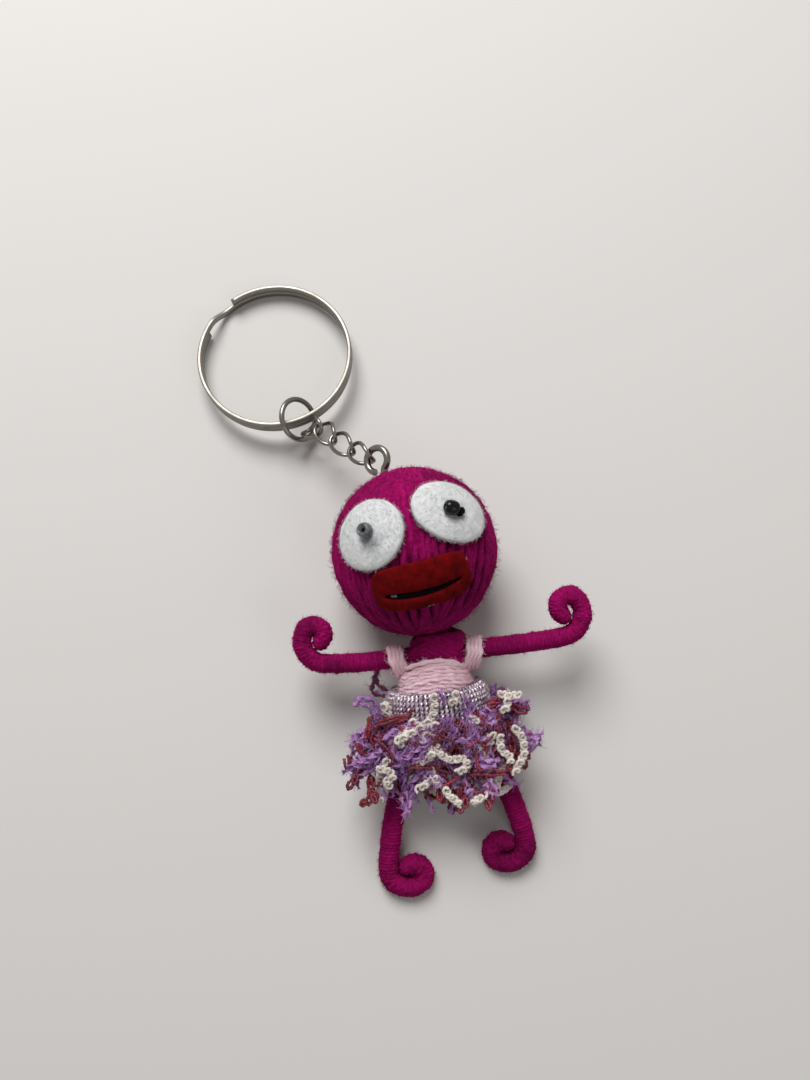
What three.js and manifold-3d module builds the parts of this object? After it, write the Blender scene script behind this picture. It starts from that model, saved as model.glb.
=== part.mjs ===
// A yarn doll on a key ring, lying on its back: a wound head on a wooden ball with felt eyes and lips,
// a wound body and four wire-cored limbs with curled ends, a fringed skirt, and a screw eye, four curb
// links, a jump ring and a flat split ring. Millimetres. The origin lies on the floor under the middle
// of the head, +X to the viewer's right, +Y from the feet to the key ring, +Z up out of the face.
import * as THREE from 'three';
import { mergeVertices } from 'three/addons/utils/BufferGeometryUtils.js';
import Module from 'manifold-3d';

const wasm = await Module();
wasm.setup();

// Clearances and finishing sizes shared by the pieces
const SEAT_GAP = 0.3;
const WIRE_GAP = 0.15;
const CUT_OVERRUN = 2;
const FLOOR_CUT_SIZE = 200;

// Head
const HEAD_RADIUS = 11.9;
const HEAD_POLE_RADIUS = 12.2;
const HEAD_FLAT_DEPTH = 0.5;
const HEAD_TURN_DEG = 16;
const HEAD_NOD_DEG = 7;
const CORE_RADIUS = 9.9;
const NECK_LEAN_DEG = 12.5;
const NECK_DROP_DEG = 8;
const NECK_GAP = 0.35;
const NECK_WIRE_GRIP = 6;

// Face
const FELT_THICKNESS = 0.8;
const LEFT_EYE_HALF_WIDTH = 4.95;
const LEFT_EYE_HALF_HEIGHT = 4.7;
const LEFT_EYE_DEG = { yaw: -29.8, lat: 17, spin: 12 };
const RIGHT_EYE_HALF_WIDTH = 5.3;
const RIGHT_EYE_HALF_HEIGHT = 4.4;
const RIGHT_EYE_DEG = { yaw: 28.8, lat: 17.6, spin: -30 };
const BEAD_RADIUS = 1.05;
const BEAD_HOLE_RADIUS = 0.34;
const BEAD_HALF_HEIGHT = 0.75;
const LEFT_BEAD_DEG = { yaw: -28.6, lat: 17.8 };
const RIGHT_BEAD_DEG = { yaw: 25.3, lat: 16.4 };
const KNOT_RADIUS = 0.5;
const KNOT_DEG = { yaw: 31.8, lat: 12.2 };
const LIP_HALF_WIDTH = 6.5;
const LIP_HALF_HEIGHT = 3.1;
const LIP_CORNER = 1.7;
const LIP_DEG = { yaw: -4, lat: -22.8, spin: -1.5 };
const SLIT_HALF_WIDTH = 5.2;
const SLIT_HALF_HEIGHT = 0.3;
const SLIT_DROP = 0.8;

// Screw eye in the crown
const EYE_WIRE_RADIUS = 0.55;
const EYE_LOOP_RADIUS = 1.85;
const EYE_STAND = 3.1;
const EYE_REACH = HEAD_POLE_RADIUS + EYE_STAND;
const EYE_SHANK = 9;
const EYE_LEAN_DEG = 21.5;
const EYE_DIP_DEG = 6;
const EYE_ROLL_DEG = 33.6;
const EYE_ARC_DEG = 326;
const EYE_PULL_DEG = 45.2;

// Curb chain and rings
const LINK_WIRE_RADIUS = 0.34;
const LINK_HALF_LENGTH = 2.25;
const LINK_HALF_WIDTH = 1.62;
const LINK_TWIST_DEG = 45;
const LINK_GAP = 0.2;
const LINK_HEADINGS_DEG = [150.6, 142.7, 137.6, 182.9];
const LINK_DIPS_DEG = [19.6, 13.1, 24.9, 50.2];
const LINK_ROLLS_DEG = [18.8, 16.8, 13.9, 5.7];
const JUMP_RADIUS = 3.25;
const JUMP_WIRE_RADIUS = 0.45;
const JUMP_TILT_DEG = 43.5;
const JUMP_LOW_DEG = -1.7;
const JUMP_HOOK_DEG = -52.7;
const JUMP_CUT_DEG = 210;
const JUMP_CUT_GAP = 0.2;
const RING_OUTER_RADIUS = 12.5;
const STRIP_THICKNESS = 0.65;
const STRIP_HEIGHT = 1.2;
const RING_TURN_GAP = 0.15;
const RING_HEADING_DEG = 110.8;
const RING_OFFSET = -0.4;
const RING_JOG_DEG = 18;
const RING_JOG_HEADING_DEG = 157.5;
const RING_END_GAP_DEG = 3;

// Body: its axis is turned in plan and slopes down to the feet
const BODY_TURN_DEG = 7;
const BODY_SLOPE_DEG = 13.5;
const TORSO_LENGTH = 12.4;
const TORSO_HALF_WIDTH = 5;
const TORSO_HALF_DEPTH = 3.7;
const WIRE_RADIUS = 0.42;
const WIRE_BORE_GAP = 0.25;
const SPINE_SET_BACK = 1.05;

// Shoulders and arms
const SHOULDER_HALF_WIDTH = 8;
const SHOULDER_DROP = 2.6;
const SHOULDER_STUB_RADIUS = 1.1;
const ARM_RADIUS = 1.42;
const ARM_TIP_RADIUS = 1.25;
const HAND_CURL_RADIUS = 1.55;
const HAND_HOOK_RADIUS = 3.9;
const HAND_CURL_DEG = 292;
const ARM_BOW = 0.25;
const LEFT_HAND_OUT = 17.25;
const LEFT_HAND_UP = 2.2;
const RIGHT_HAND_OUT = 20;
const RIGHT_HAND_UP = 1.8;

// Hips and legs
const HIP_HALF_WIDTH = 3.4;
const HIP_DROP = 13.4;
const LEG_RADIUS = 1.58;
const LEG_TIP_RADIUS = 1.4;
const FOOT_CURL_RADIUS = 1.7;
const FOOT_HOOK_RADIUS = 3.35;
const FOOT_CURL_DEG = 262;
const FOOT_FLAT_DEPTH = 0.5;
const LEG_BOW = 1.3;
const LEFT_FOOT_OUT = 7.25;
const LEFT_FOOT_DOWN = 34.7;
const RIGHT_FOOT_OUT = 6.5;
const RIGHT_FOOT_DOWN = 33.1;

// Bodice and shoulder straps, wound from one thickness of yarn
const BODICE_YARN_RADIUS = 0.37;
const BODICE_TOP = 3.75;
const BODICE_ARCH = 1.15;
const BODICE_PITCH = 1.2;
const BODICE_LOOPS = 3;
const STRAP_YARN_RADIUS = 0.25;
const STRAP_PITCH = 0.94;
const STRAP_LOOPS = 2;

// Skirt: a woven heading band and a fan of fringe tufts in two layers
const BAND_TOP = 7.7;
const BAND_HEIGHT = 3.5;
const BAND_THICKNESS = 0.9;
const BAND_FLARE = 0.35;
const SKIRT_CENTRE_DROP = 9;
const SKIRT_CENTRE_SHIFT = -0.6;
const SKIRT_RADIUS = 17.2;
const FRONT_FAN_DEG = 128;
const BACK_FAN_DEG = 112;
const TUFTS_A_LAYER = 6;
const TUFT_THICKNESS = 2.1;
const TUFT_GAP = 0.45;
const FLOOR_TUFT_THICKNESS = 1.4;

// Counts of faces
const LOOP_STEPS = 24;
const YARN_SIDES = 6;
const WIRE_SIDES = 8;
const LIMB_SIDES = 10;
const LIP_SIDE_STEPS = 6;

const rad = THREE.MathUtils.degToRad;
const vec = (x, y, z) => new THREE.Vector3(x, y, z);
const WORLD_UP = vec(0, 0, 1);
const part = new THREE.Group();

const FINISHES = {
  magenta_yarn: { color: 0x85094f, roughness: 0.95, metalness: 0 },
  pink_yarn: { color: 0xd9a5b5, roughness: 0.9, metalness: 0 },
  fringe_yarn: { color: 0x9a86b4, roughness: 0.8, metalness: 0 },
  maroon_yarn: { color: 0x6d1228, roughness: 0.85, metalness: 0 },
  cream_yarn: { color: 0xe6e0d4, roughness: 0.9, metalness: 0 },
  silver_band: { color: 0xa99fb2, roughness: 0.55, metalness: 0.2 },
  white_felt: { color: 0xf1efeb, roughness: 0.95, metalness: 0 },
  red_felt: { color: 0x5c0a0c, roughness: 0.9, metalness: 0 },
  black_felt: { color: 0x0b0a0a, roughness: 0.6, metalness: 0 },
  glass_bead: { color: 0x101012, roughness: 0.08, metalness: 0 },
  wood: { color: 0xc9a574, roughness: 0.7, metalness: 0 },
  iron_wire: { color: 0x8d8f90, roughness: 0.4, metalness: 1 },
  dark_nickel: { color: 0x6f6e70, roughness: 0.3, metalness: 1 },
  bright_nickel: { color: 0xc8c8c6, roughness: 0.22, metalness: 1 },
};

function addMesh(parent, name, geometry, finish) {
  const mesh = new THREE.Mesh(geometry, new THREE.MeshStandardMaterial(FINISHES[finish]));
  mesh.name = name;
  parent.add(mesh);
  return mesh;
}

function toSolid(geometry) {
  const bare = geometry.clone();
  bare.deleteAttribute('normal');
  bare.deleteAttribute('uv');
  const merged = mergeVertices(bare);
  return new wasm.Manifold(new wasm.Mesh({
    numProp: 3,
    vertProperties: new Float32Array(merged.attributes.position.array),
    triVerts: new Uint32Array(merged.index.array),
  }));
}

function toGeometry(solid) {
  const mesh = solid.getMesh();
  const geometry = new THREE.BufferGeometry();
  geometry.setAttribute('position', new THREE.BufferAttribute(new Float32Array(mesh.vertProperties), 3));
  geometry.setIndex(new THREE.BufferAttribute(new Uint32Array(mesh.triVerts), 1));
  return geometry;
}

function cut(geometry, ...tools) {
  let solid = toSolid(geometry);
  for (const tool of tools) solid = solid.subtract(toSolid(tool));
  return toGeometry(solid);
}

function join(...geometries) {
  let solid = toSolid(geometries[0]);
  for (const next of geometries.slice(1)) solid = solid.add(toSolid(next));
  return toGeometry(solid);
}

// Takes away whatever reaches below the floor, in world places.
function cutAtFloor(geometry) {
  const floor = new THREE.BoxGeometry(FLOOR_CUT_SIZE, FLOOR_CUT_SIZE, FLOOR_CUT_SIZE);
  floor.translate(0, 0, -FLOOR_CUT_SIZE / 2);
  return cut(geometry, floor);
}

// Joins a row of rings of points into one closed skin. Each end is closed by a fan, whose middle is
// the ring's own unless one is given.
function loft(rings, { looped = false, first, last } = {}) {
  const sides = rings[0].length;
  const points = rings.flat();
  const faces = [];
  const bands = looped ? rings.length : rings.length - 1;
  for (let band = 0; band < bands; band++) {
    const here = band * sides;
    const next = ((band + 1) % rings.length) * sides;
    for (let i = 0; i < sides; i++) {
      const j = (i + 1) % sides;
      faces.push(here + i, here + j, next + j);
      faces.push(here + i, next + j, next + i);
    }
  }
  if (!looped) {
    const middle = (ring) => ring.reduce((sum, p) => sum.add(p), vec(0, 0, 0)).divideScalar(sides);
    const end = (rings.length - 1) * sides;
    points.push(first ?? middle(rings[0]), last ?? middle(rings[rings.length - 1]));
    for (let i = 0; i < sides; i++) {
      const j = (i + 1) % sides;
      faces.push(points.length - 2, j, i);
      faces.push(points.length - 1, end + i, end + j);
    }
  }
  const geometry = new THREE.BufferGeometry().setFromPoints(points);
  geometry.setIndex(faces);
  return geometry;
}

// Carries a section along a path. The section's second direction stays as near to up as it can.
function sweep(path, up, sectionAt, looped = false) {
  const count = path.length;
  const rings = path.map((point, k) => {
    const before = looped ? path[(k + count - 1) % count] : path[Math.max(k - 1, 0)];
    const after = looped ? path[(k + 1) % count] : path[Math.min(k + 1, count - 1)];
    const along = after.clone().sub(before).normalize();
    const rise = up.clone().addScaledVector(along, -up.dot(along)).normalize();
    const across = rise.clone().cross(along);
    return sectionAt(k).map(([a, b]) => point.clone().addScaledVector(across, a).addScaledVector(rise, b));
  });
  return loft(rings, { looped });
}

function circle(radius, sides) {
  return Array.from({ length: sides }, (_, i) => {
    const angle = (i / sides) * 2 * Math.PI;
    return [radius * Math.cos(angle), radius * Math.sin(angle)];
  });
}

const tube = (path, up, radius, sides, looped = false) =>
  sweep(path, up, () => circle(radius, sides), looped);

function arc(radius, fromDeg, toDeg, steps) {
  return Array.from({ length: steps + 1 }, (_, k) => {
    const angle = rad(fromDeg + ((toDeg - fromDeg) * k) / steps);
    return vec(radius * Math.cos(angle), radius * Math.sin(angle), 0);
  });
}

// A straight round bore or rod from one point to another.
function rod(from, to, radius, sides = WIRE_SIDES) {
  const along = to.clone().sub(from).normalize();
  const up = Math.abs(along.z) < Math.SQRT1_2 ? WORLD_UP : vec(1, 0, 0);
  return tube([from, to], up, radius, sides);
}

// Head frame: +Y through the crown, +Z out of the face.
const headCentre = vec(0, 0, HEAD_RADIUS - HEAD_FLAT_DEPTH);
const headMatrix = new THREE.Matrix4()
  .makeRotationZ(rad(HEAD_TURN_DEG))
  .multiply(new THREE.Matrix4().makeRotationX(rad(HEAD_NOD_DEG)))
  .setPosition(headCentre);
const headInverse = headMatrix.clone().invert();

const neckDirection = vec(
  Math.sin(rad(NECK_LEAN_DEG)) * Math.cos(rad(NECK_DROP_DEG)),
  -Math.cos(rad(NECK_LEAN_DEG)) * Math.cos(rad(NECK_DROP_DEG)),
  -Math.sin(rad(NECK_DROP_DEG)),
);
const neckPivot = headCentre.clone().addScaledVector(neckDirection, HEAD_POLE_RADIUS + NECK_GAP);
const eyeDirection = vec(
  -Math.sin(rad(EYE_LEAN_DEG)) * Math.cos(rad(EYE_DIP_DEG)),
  Math.cos(rad(EYE_LEAN_DEG)) * Math.cos(rad(EYE_DIP_DEG)),
  -Math.sin(rad(EYE_DIP_DEG)),
);
const eyeCentre = headCentre.clone().addScaledVector(eyeDirection, EYE_REACH);

const fromHead = (direction, reach) => headCentre.clone().addScaledVector(direction, reach);

function buildHead() {
  const neckEnd = CORE_RADIUS - NECK_WIRE_GRIP;
  const eyeEnd = EYE_REACH - EYE_LOOP_RADIUS - EYE_SHANK;
  const outside = HEAD_POLE_RADIUS + CUT_OVERRUN;
  const neckBore = rod(
    fromHead(neckDirection, neckEnd - SEAT_GAP), fromHead(neckDirection, outside), WIRE_RADIUS + WIRE_BORE_GAP,
  );
  const eyeBore = rod(
    fromHead(eyeDirection, eyeEnd - SEAT_GAP), fromHead(eyeDirection, outside), EYE_WIRE_RADIUS + WIRE_BORE_GAP,
  );

  const core = new THREE.SphereGeometry(CORE_RADIUS, 20, 14).applyMatrix4(headMatrix);
  addMesh(part, 'head_core', cut(core, neckBore, eyeBore), 'wood');

  const winding = new THREE.SphereGeometry(1, 32, 20)
    .scale(HEAD_RADIUS, HEAD_POLE_RADIUS, HEAD_RADIUS)
    .applyMatrix4(headMatrix);
  const hollow = new THREE.SphereGeometry(CORE_RADIUS + SEAT_GAP, 20, 14).applyMatrix4(headMatrix);
  addMesh(part, 'head_winding', cutAtFloor(cut(winding, hollow, neckBore, eyeBore)), 'magenta_yarn');

  const wireTop = fromHead(neckDirection, neckEnd);
  const wireFoot = neckPivot.clone().addScaledVector(neckDirection, -WIRE_GAP);
  addMesh(part, 'neck_wire', rod(wireFoot, wireTop, WIRE_RADIUS), 'iron_wire');
}

// A direction on the head from its yaw and latitude, with the two directions along the surface there.
function headSpot({ yaw, lat, spin = 0 }) {
  const out = vec(
    Math.cos(rad(lat)) * Math.sin(rad(yaw)), Math.sin(rad(lat)), Math.cos(rad(lat)) * Math.cos(rad(yaw)),
  );
  const east = vec(Math.cos(rad(yaw)), 0, -Math.sin(rad(yaw)));
  const north = out.clone().cross(east);
  const right = east.clone().multiplyScalar(Math.cos(rad(spin))).addScaledVector(north, Math.sin(rad(spin)));
  return { out, right, up: out.clone().cross(right) };
}

function headSurface(direction, rise) {
  const flat = Math.hypot(direction.x, direction.z) / HEAD_RADIUS;
  const pole = direction.y / HEAD_POLE_RADIUS;
  return direction.clone().multiplyScalar(1 / Math.hypot(flat, pole) + rise);
}

// A flat outline bent round the head, between two heights over its surface.
function bentPatch(spotDeg, outline, inner, outer, ringShares = [0.55]) {
  const spot = headSpot(spotDeg);
  const bend = ([a, b], share, rise) => {
    const reach = Math.hypot(a, b) * share;
    const angle = reach / HEAD_RADIUS;
    const along = spot.right.clone().multiplyScalar(a).addScaledVector(spot.up, b).normalize();
    const direction = spot.out.clone().multiplyScalar(Math.cos(angle)).addScaledVector(along, Math.sin(angle));
    return headSurface(direction, rise);
  };
  const ringAt = (share, rise) => outline.map((point) => bend(point, share, rise));
  const rings = [
    ...ringShares.map((share) => ringAt(share, inner)),
    ringAt(1, inner),
    ringAt(1, outer),
    ...ringShares.toReversed().map((share) => ringAt(share, outer)),
  ];
  return loft(rings, { first: headSurface(spot.out, inner), last: headSurface(spot.out, outer) });
}

const feltFoot = SEAT_GAP;
const feltTop = SEAT_GAP + FELT_THICKNESS;

function ovalOutline(halfWidth, halfHeight, sides) {
  return circle(1, sides).map(([a, b]) => [a * halfWidth, b * halfHeight]);
}

// A rectangle with round corners, its straight sides split into steps that can bend round the head.
function roundedOutline(halfWidth, halfHeight, corner, cornerSteps) {
  const points = [];
  const corners = [[1, 1], [-1, 1], [-1, -1], [1, -1]];
  const sideSteps = [LIP_SIDE_STEPS, 2];
  corners.forEach(([sx, sy], quarter) => {
    const middle = [sx * (halfWidth - corner), sy * (halfHeight - corner)];
    for (let k = 0; k <= cornerSteps; k++) {
      const angle = (quarter + k / cornerSteps) * (Math.PI / 2);
      points.push([middle[0] + corner * Math.cos(angle), middle[1] + corner * Math.sin(angle)]);
    }
    const [nx, ny] = corners[(quarter + 1) % 4];
    const from = points[points.length - 1];
    const turn = (quarter + 1) * (Math.PI / 2);
    const to = [
      nx * (halfWidth - corner) + corner * Math.cos(turn), ny * (halfHeight - corner) + corner * Math.sin(turn),
    ];
    const steps = sideSteps[quarter % 2];
    for (let k = 1; k < steps; k++) {
      points.push([from[0] + ((to[0] - from[0]) * k) / steps, from[1] + ((to[1] - from[1]) * k) / steps]);
    }
  });
  return points;
}

// A glass bead: a barrel about its own +Y with a hole through it.
function bead(radius, halfHeight) {
  const steps = 8;
  const middle = (radius + BEAD_HOLE_RADIUS) / 2;
  const half = (radius - BEAD_HOLE_RADIUS) / 2;
  const profile = Array.from({ length: steps + 1 }, (_, k) => {
    const angle = (k / steps) * 2 * Math.PI;
    return new THREE.Vector2(middle + half * Math.cos(angle), halfHeight * Math.sin(angle));
  });
  return new THREE.LatheGeometry(profile, 14);
}

function placeOnHead(mesh, spotDeg, rise, axis) {
  const spot = headSpot(spotDeg);
  mesh.position.copy(headSurface(spot.out, rise));
  mesh.quaternion.setFromUnitVectors(vec(0, 1, 0), spot[axis]);
}

function buildFace() {
  const face = new THREE.Group();
  face.applyMatrix4(headMatrix);
  part.add(face);

  const leftEye = ovalOutline(LEFT_EYE_HALF_WIDTH, LEFT_EYE_HALF_HEIGHT, 20);
  const rightEye = ovalOutline(RIGHT_EYE_HALF_WIDTH, RIGHT_EYE_HALF_HEIGHT, 20);
  addMesh(face, 'eye_felt_left', bentPatch(LEFT_EYE_DEG, leftEye, feltFoot, feltTop), 'white_felt');
  addMesh(face, 'eye_felt_right', bentPatch(RIGHT_EYE_DEG, rightEye, feltFoot, feltTop), 'white_felt');

  const leftBead = addMesh(face, 'pupil_bead_left', bead(BEAD_RADIUS, BEAD_HALF_HEIGHT), 'glass_bead');
  placeOnHead(leftBead, LEFT_BEAD_DEG, feltTop + SEAT_GAP + BEAD_HALF_HEIGHT, 'out');
  const rightBead = addMesh(face, 'pupil_bead_right', bead(BEAD_RADIUS, BEAD_RADIUS), 'glass_bead');
  placeOnHead(rightBead, RIGHT_BEAD_DEG, feltTop + SEAT_GAP + BEAD_RADIUS, 'right');
  const knot = new THREE.IcosahedronGeometry(KNOT_RADIUS, 1);
  placeOnHead(addMesh(face, 'pupil_knot_right', knot, 'black_felt'), KNOT_DEG, feltTop + SEAT_GAP + KNOT_RADIUS, 'out');

  // The slit is one strip of black felt let into a slot in the red lips.
  const lips = roundedOutline(LIP_HALF_WIDTH, LIP_HALF_HEIGHT, LIP_CORNER, 3);
  const low = ([a, b]) => [a, b - SLIT_DROP];
  const slot = roundedOutline(
    SLIT_HALF_WIDTH + SEAT_GAP, SLIT_HALF_HEIGHT + SEAT_GAP, SLIT_HALF_HEIGHT + SEAT_GAP / 2, 2,
  ).map(low);
  const slit = roundedOutline(SLIT_HALF_WIDTH, SLIT_HALF_HEIGHT, SLIT_HALF_HEIGHT / 2, 2).map(low);
  const lipPatch = bentPatch(LIP_DEG, lips, feltFoot, feltTop, [0.3, 0.6]);
  const slotPatch = slotSolid(slot, -CUT_OVERRUN, feltTop + CUT_OVERRUN);
  addMesh(face, 'lips_felt', cut(lipPatch, slotPatch), 'red_felt');
  addMesh(face, 'mouth_slit', slotSolid(slit, feltFoot, feltTop), 'black_felt');
}

// A long thin outline bent round the head, built as a row of sections from end to end.
function slotSolid(outline, inner, outer) {
  const spot = headSpot(LIP_DEG);
  const reach = Math.max(...outline.map(([a]) => a));
  const half = Math.max(...outline.map(([, b]) => b + SLIT_DROP));
  const steps = 10;
  const rings = Array.from({ length: steps + 1 }, (_, k) => {
    const a = reach * (1 - (2 * k) / steps);
    const point = (b, rise) => {
      const along = spot.right.clone().multiplyScalar(a).addScaledVector(spot.up, b - SLIT_DROP);
      const angle = along.length() / HEAD_RADIUS;
      const direction = spot.out.clone().multiplyScalar(Math.cos(angle))
        .addScaledVector(along.normalize(), Math.sin(angle));
      return headSurface(direction, rise);
    };
    return [point(-half, inner), point(-half, outer), point(half, outer), point(half, inner)];
  });
  return loft(rings);
}

// Screw eye: an open loop of wire on a straight shank that is driven into the wooden ball.
function eyeFrame() {
  const along = eyeDirection;
  const front = WORLD_UP.clone().addScaledVector(along, -WORLD_UP.dot(along)).normalize();
  const sideways = along.clone().cross(front);
  const pull = sideways.multiplyScalar(-Math.cos(rad(EYE_ROLL_DEG)))
    .addScaledVector(front, -Math.sin(rad(EYE_ROLL_DEG)));
  return { along, pull, axis: pull.clone().cross(along) };
}

function buildScrewEye() {
  const { along, pull, axis } = eyeFrame();
  const matrix = new THREE.Matrix4().makeBasis(pull, along, axis).setPosition(eyeCentre);
  const startDeg = -90;
  const loop = arc(EYE_LOOP_RADIUS, startDeg, startDeg - EYE_ARC_DEG, LOOP_STEPS - 4);
  const loopTube = tube(loop, WORLD_UP, EYE_WIRE_RADIUS, WIRE_SIDES).applyMatrix4(matrix);
  const shank = rod(
    fromHead(eyeDirection, EYE_REACH - EYE_LOOP_RADIUS - EYE_SHANK),
    fromHead(eyeDirection, EYE_REACH - EYE_LOOP_RADIUS), EYE_WIRE_RADIUS,
  );
  addMesh(part, 'screw_eye', join(loopTube, shank), 'dark_nickel');
}

// A curb link: an oval of wire twisted so that its two ends cross at a right angle.
function linkGeometry() {
  const path = Array.from({ length: LOOP_STEPS }, (_, k) => {
    const t = (k / LOOP_STEPS) * 2 * Math.PI;
    const twist = rad(LINK_TWIST_DEG) * Math.cos(t);
    const wide = LINK_HALF_WIDTH * Math.sin(t);
    return vec(LINK_HALF_LENGTH * Math.cos(t), wide * Math.cos(twist), wide * Math.sin(twist));
  });
  return tube(path, WORLD_UP, LINK_WIRE_RADIUS, YARN_SIDES, true);
}

const heading = (headingDeg, dipDeg) => vec(
  Math.cos(rad(headingDeg)) * Math.cos(rad(dipDeg)),
  Math.sin(rad(headingDeg)) * Math.cos(rad(dipDeg)),
  -Math.sin(rad(dipDeg)),
);

// Each link hangs on the wire before it. hinge holds the wire's middle and its direction there.
function chainPlaces() {
  const { along, pull } = eyeFrame();
  const angle = rad(EYE_PULL_DEG);
  const hinge = {
    at: eyeCentre.clone().addScaledVector(pull, EYE_LOOP_RADIUS * Math.cos(angle))
      .addScaledVector(along, EYE_LOOP_RADIUS * Math.sin(angle)),
    wire: pull.clone().multiplyScalar(-Math.sin(angle)).addScaledVector(along, Math.cos(angle)),
    radius: EYE_WIRE_RADIUS,
  };
  const links = LINK_HEADINGS_DEG.map((headingDeg, k) => {
    const hung = { at: hinge.at.clone(), wire: hinge.wire.clone() };
    const run = heading(headingDeg, LINK_DIPS_DEG[k]);
    const startWire = run.clone().cross(hinge.wire).normalize().applyAxisAngle(run, rad(LINK_ROLLS_DEG[k]));
    const wide = startWire.clone().applyAxisAngle(run, rad(LINK_TWIST_DEG));
    const start = hinge.at.clone().addScaledVector(run, -(hinge.radius + LINK_WIRE_RADIUS + LINK_GAP));
    hinge.at = start.clone().addScaledVector(run, 2 * LINK_HALF_LENGTH);
    hinge.wire = startWire.applyAxisAngle(run, rad(2 * LINK_TWIST_DEG));
    hinge.radius = LINK_WIRE_RADIUS;
    const matrix = new THREE.Matrix4().makeBasis(run, wide, run.clone().cross(wide))
      .setPosition(start.addScaledVector(run, LINK_HALF_LENGTH));
    return { matrix, hung };
  });
  return { links, end: hinge };
}

const chain = chainPlaces();

// The jump ring leans on the floor, and the last link hooks it on the hook side.
const jumpLow = heading(JUMP_LOW_DEG, JUMP_TILT_DEG);
const jumpLevel = vec(-Math.sin(rad(JUMP_LOW_DEG)), Math.cos(rad(JUMP_LOW_DEG)), 0);
const jumpHook = jumpLow.clone().multiplyScalar(Math.cos(rad(JUMP_HOOK_DEG)))
  .addScaledVector(jumpLevel, Math.sin(rad(JUMP_HOOK_DEG)));
const jumpCentre = chain.end.at.clone()
  .addScaledVector(jumpHook, -(JUMP_RADIUS - JUMP_WIRE_RADIUS - LINK_WIRE_RADIUS - LINK_GAP));

const ringRadius = RING_OUTER_RADIUS - STRIP_THICKNESS / 2;
const ringHeight = 2 * STRIP_HEIGHT + RING_TURN_GAP;
const ringOut = heading(RING_HEADING_DEG, 0);
const ringAcross = vec(ringOut.y, -ringOut.x, 0);

function ringMatrix() {
  // The near edge of the strip runs through the middle of the jump ring and the far edge lies on the floor.
  const nearFoot = jumpCentre.z - ringHeight / 2;
  const tilt = Math.asin(nearFoot / (2 * RING_OUTER_RADIUS));
  const near = jumpCentre.clone().addScaledVector(ringOut, RING_OFFSET);
  const centre = near.clone().addScaledVector(ringOut, ringRadius * Math.cos(tilt));
  centre.z = RING_OUTER_RADIUS * Math.sin(tilt) + (ringHeight / 2) * Math.cos(tilt);
  const outward = ringOut.clone().multiplyScalar(Math.cos(tilt)).addScaledVector(WORLD_UP, -Math.sin(tilt));
  const matrix = new THREE.Matrix4().makeBasis(outward, ringAcross.clone().negate(), outward.clone()
    .cross(ringAcross.clone().negate()));
  return matrix.setPosition(centre);
}

function splitRingGeometry() {
  const jogFromDeg = RING_JOG_HEADING_DEG - RING_HEADING_DEG;
  const flatDeg = 360 - RING_JOG_DEG - 2 * RING_END_GAP_DEG;
  const step = 10;
  const level = (STRIP_HEIGHT + RING_TURN_GAP) / 2;
  const path = [];
  const addTurn = (fromDeg, toDeg, fromLevel, toLevel, steps) => {
    for (let k = path.length ? 1 : 0; k <= steps; k++) {
      const share = k / steps;
      const angle = rad(fromDeg + (toDeg - fromDeg) * share);
      const z = fromLevel + (toLevel - fromLevel) * (share * share * (3 - 2 * share));
      path.push(vec(ringRadius * Math.cos(angle), ringRadius * Math.sin(angle), z));
    }
  };
  const lowerEnd = jogFromDeg + flatDeg;
  addTurn(jogFromDeg, lowerEnd, -level, -level, Math.ceil(flatDeg / step));
  addTurn(lowerEnd, lowerEnd + RING_JOG_DEG, -level, level, 6);
  addTurn(lowerEnd + RING_JOG_DEG, lowerEnd + RING_JOG_DEG + flatDeg, level, level, Math.ceil(flatDeg / step));
  const a = STRIP_THICKNESS / 2;
  const b = STRIP_HEIGHT / 2;
  return sweep(path, WORLD_UP, () => [[a, b], [-a, b], [-a, -b], [a, -b]]);
}

function buildChain() {
  chain.links.forEach(({ matrix }, k) => {
    const mesh = addMesh(part, `chain_link_${chain.links.length - k}`, linkGeometry(), 'dark_nickel');
    mesh.applyMatrix4(matrix);
  });
  const cutHalfDeg = THREE.MathUtils.radToDeg(JUMP_CUT_GAP / 2 / JUMP_RADIUS);
  const jump = arc(JUMP_RADIUS, JUMP_CUT_DEG + cutHalfDeg, JUMP_CUT_DEG + 360 - cutHalfDeg, LOOP_STEPS);
  const jumpMesh = addMesh(part, 'jump_ring', tube(jump, WORLD_UP, JUMP_WIRE_RADIUS, WIRE_SIDES), 'dark_nickel');
  jumpMesh.applyMatrix4(new THREE.Matrix4()
    .makeBasis(jumpLow, jumpLevel, jumpLow.clone().cross(jumpLevel)).setPosition(jumpCentre));
  addMesh(part, 'split_ring', splitRingGeometry(), 'bright_nickel').applyMatrix4(ringMatrix());
}

// Body frame: +Y up the body from its root at the neck pivot, +Z out of its front.
const bodyMatrix = new THREE.Matrix4()
  .makeRotationX(rad(BODY_SLOPE_DEG))
  .multiply(new THREE.Matrix4().makeRotationZ(rad(BODY_TURN_DEG)))
  .setPosition(neckPivot);
const bodyAxis = vec(0, 1, 0);
const shoulderAt = (side) => vec(side * SHOULDER_HALF_WIDTH, -SHOULDER_DROP, 0);
const hipAt = (side) => vec(side * HIP_HALF_WIDTH, -HIP_DROP, 0);

// Half width and half depth of the torso, as shares of its largest, against the drop from the neck.
const TORSO_SHARES = [
  { drop: 0.03, wide: 0.24, deep: 0.3 },
  { drop: 0.08, wide: 0.46, deep: 0.55 },
  { drop: 0.17, wide: 0.72, deep: 0.76 },
  { drop: 0.32, wide: 0.78, deep: 0.92 },
  { drop: 0.55, wide: 0.9, deep: 1 },
  { drop: 0.82, wide: 1, deep: 1 },
  { drop: 0.94, wide: 0.94, deep: 0.9 },
  { drop: 1, wide: 0.76, deep: 0.68 },
];

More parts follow.
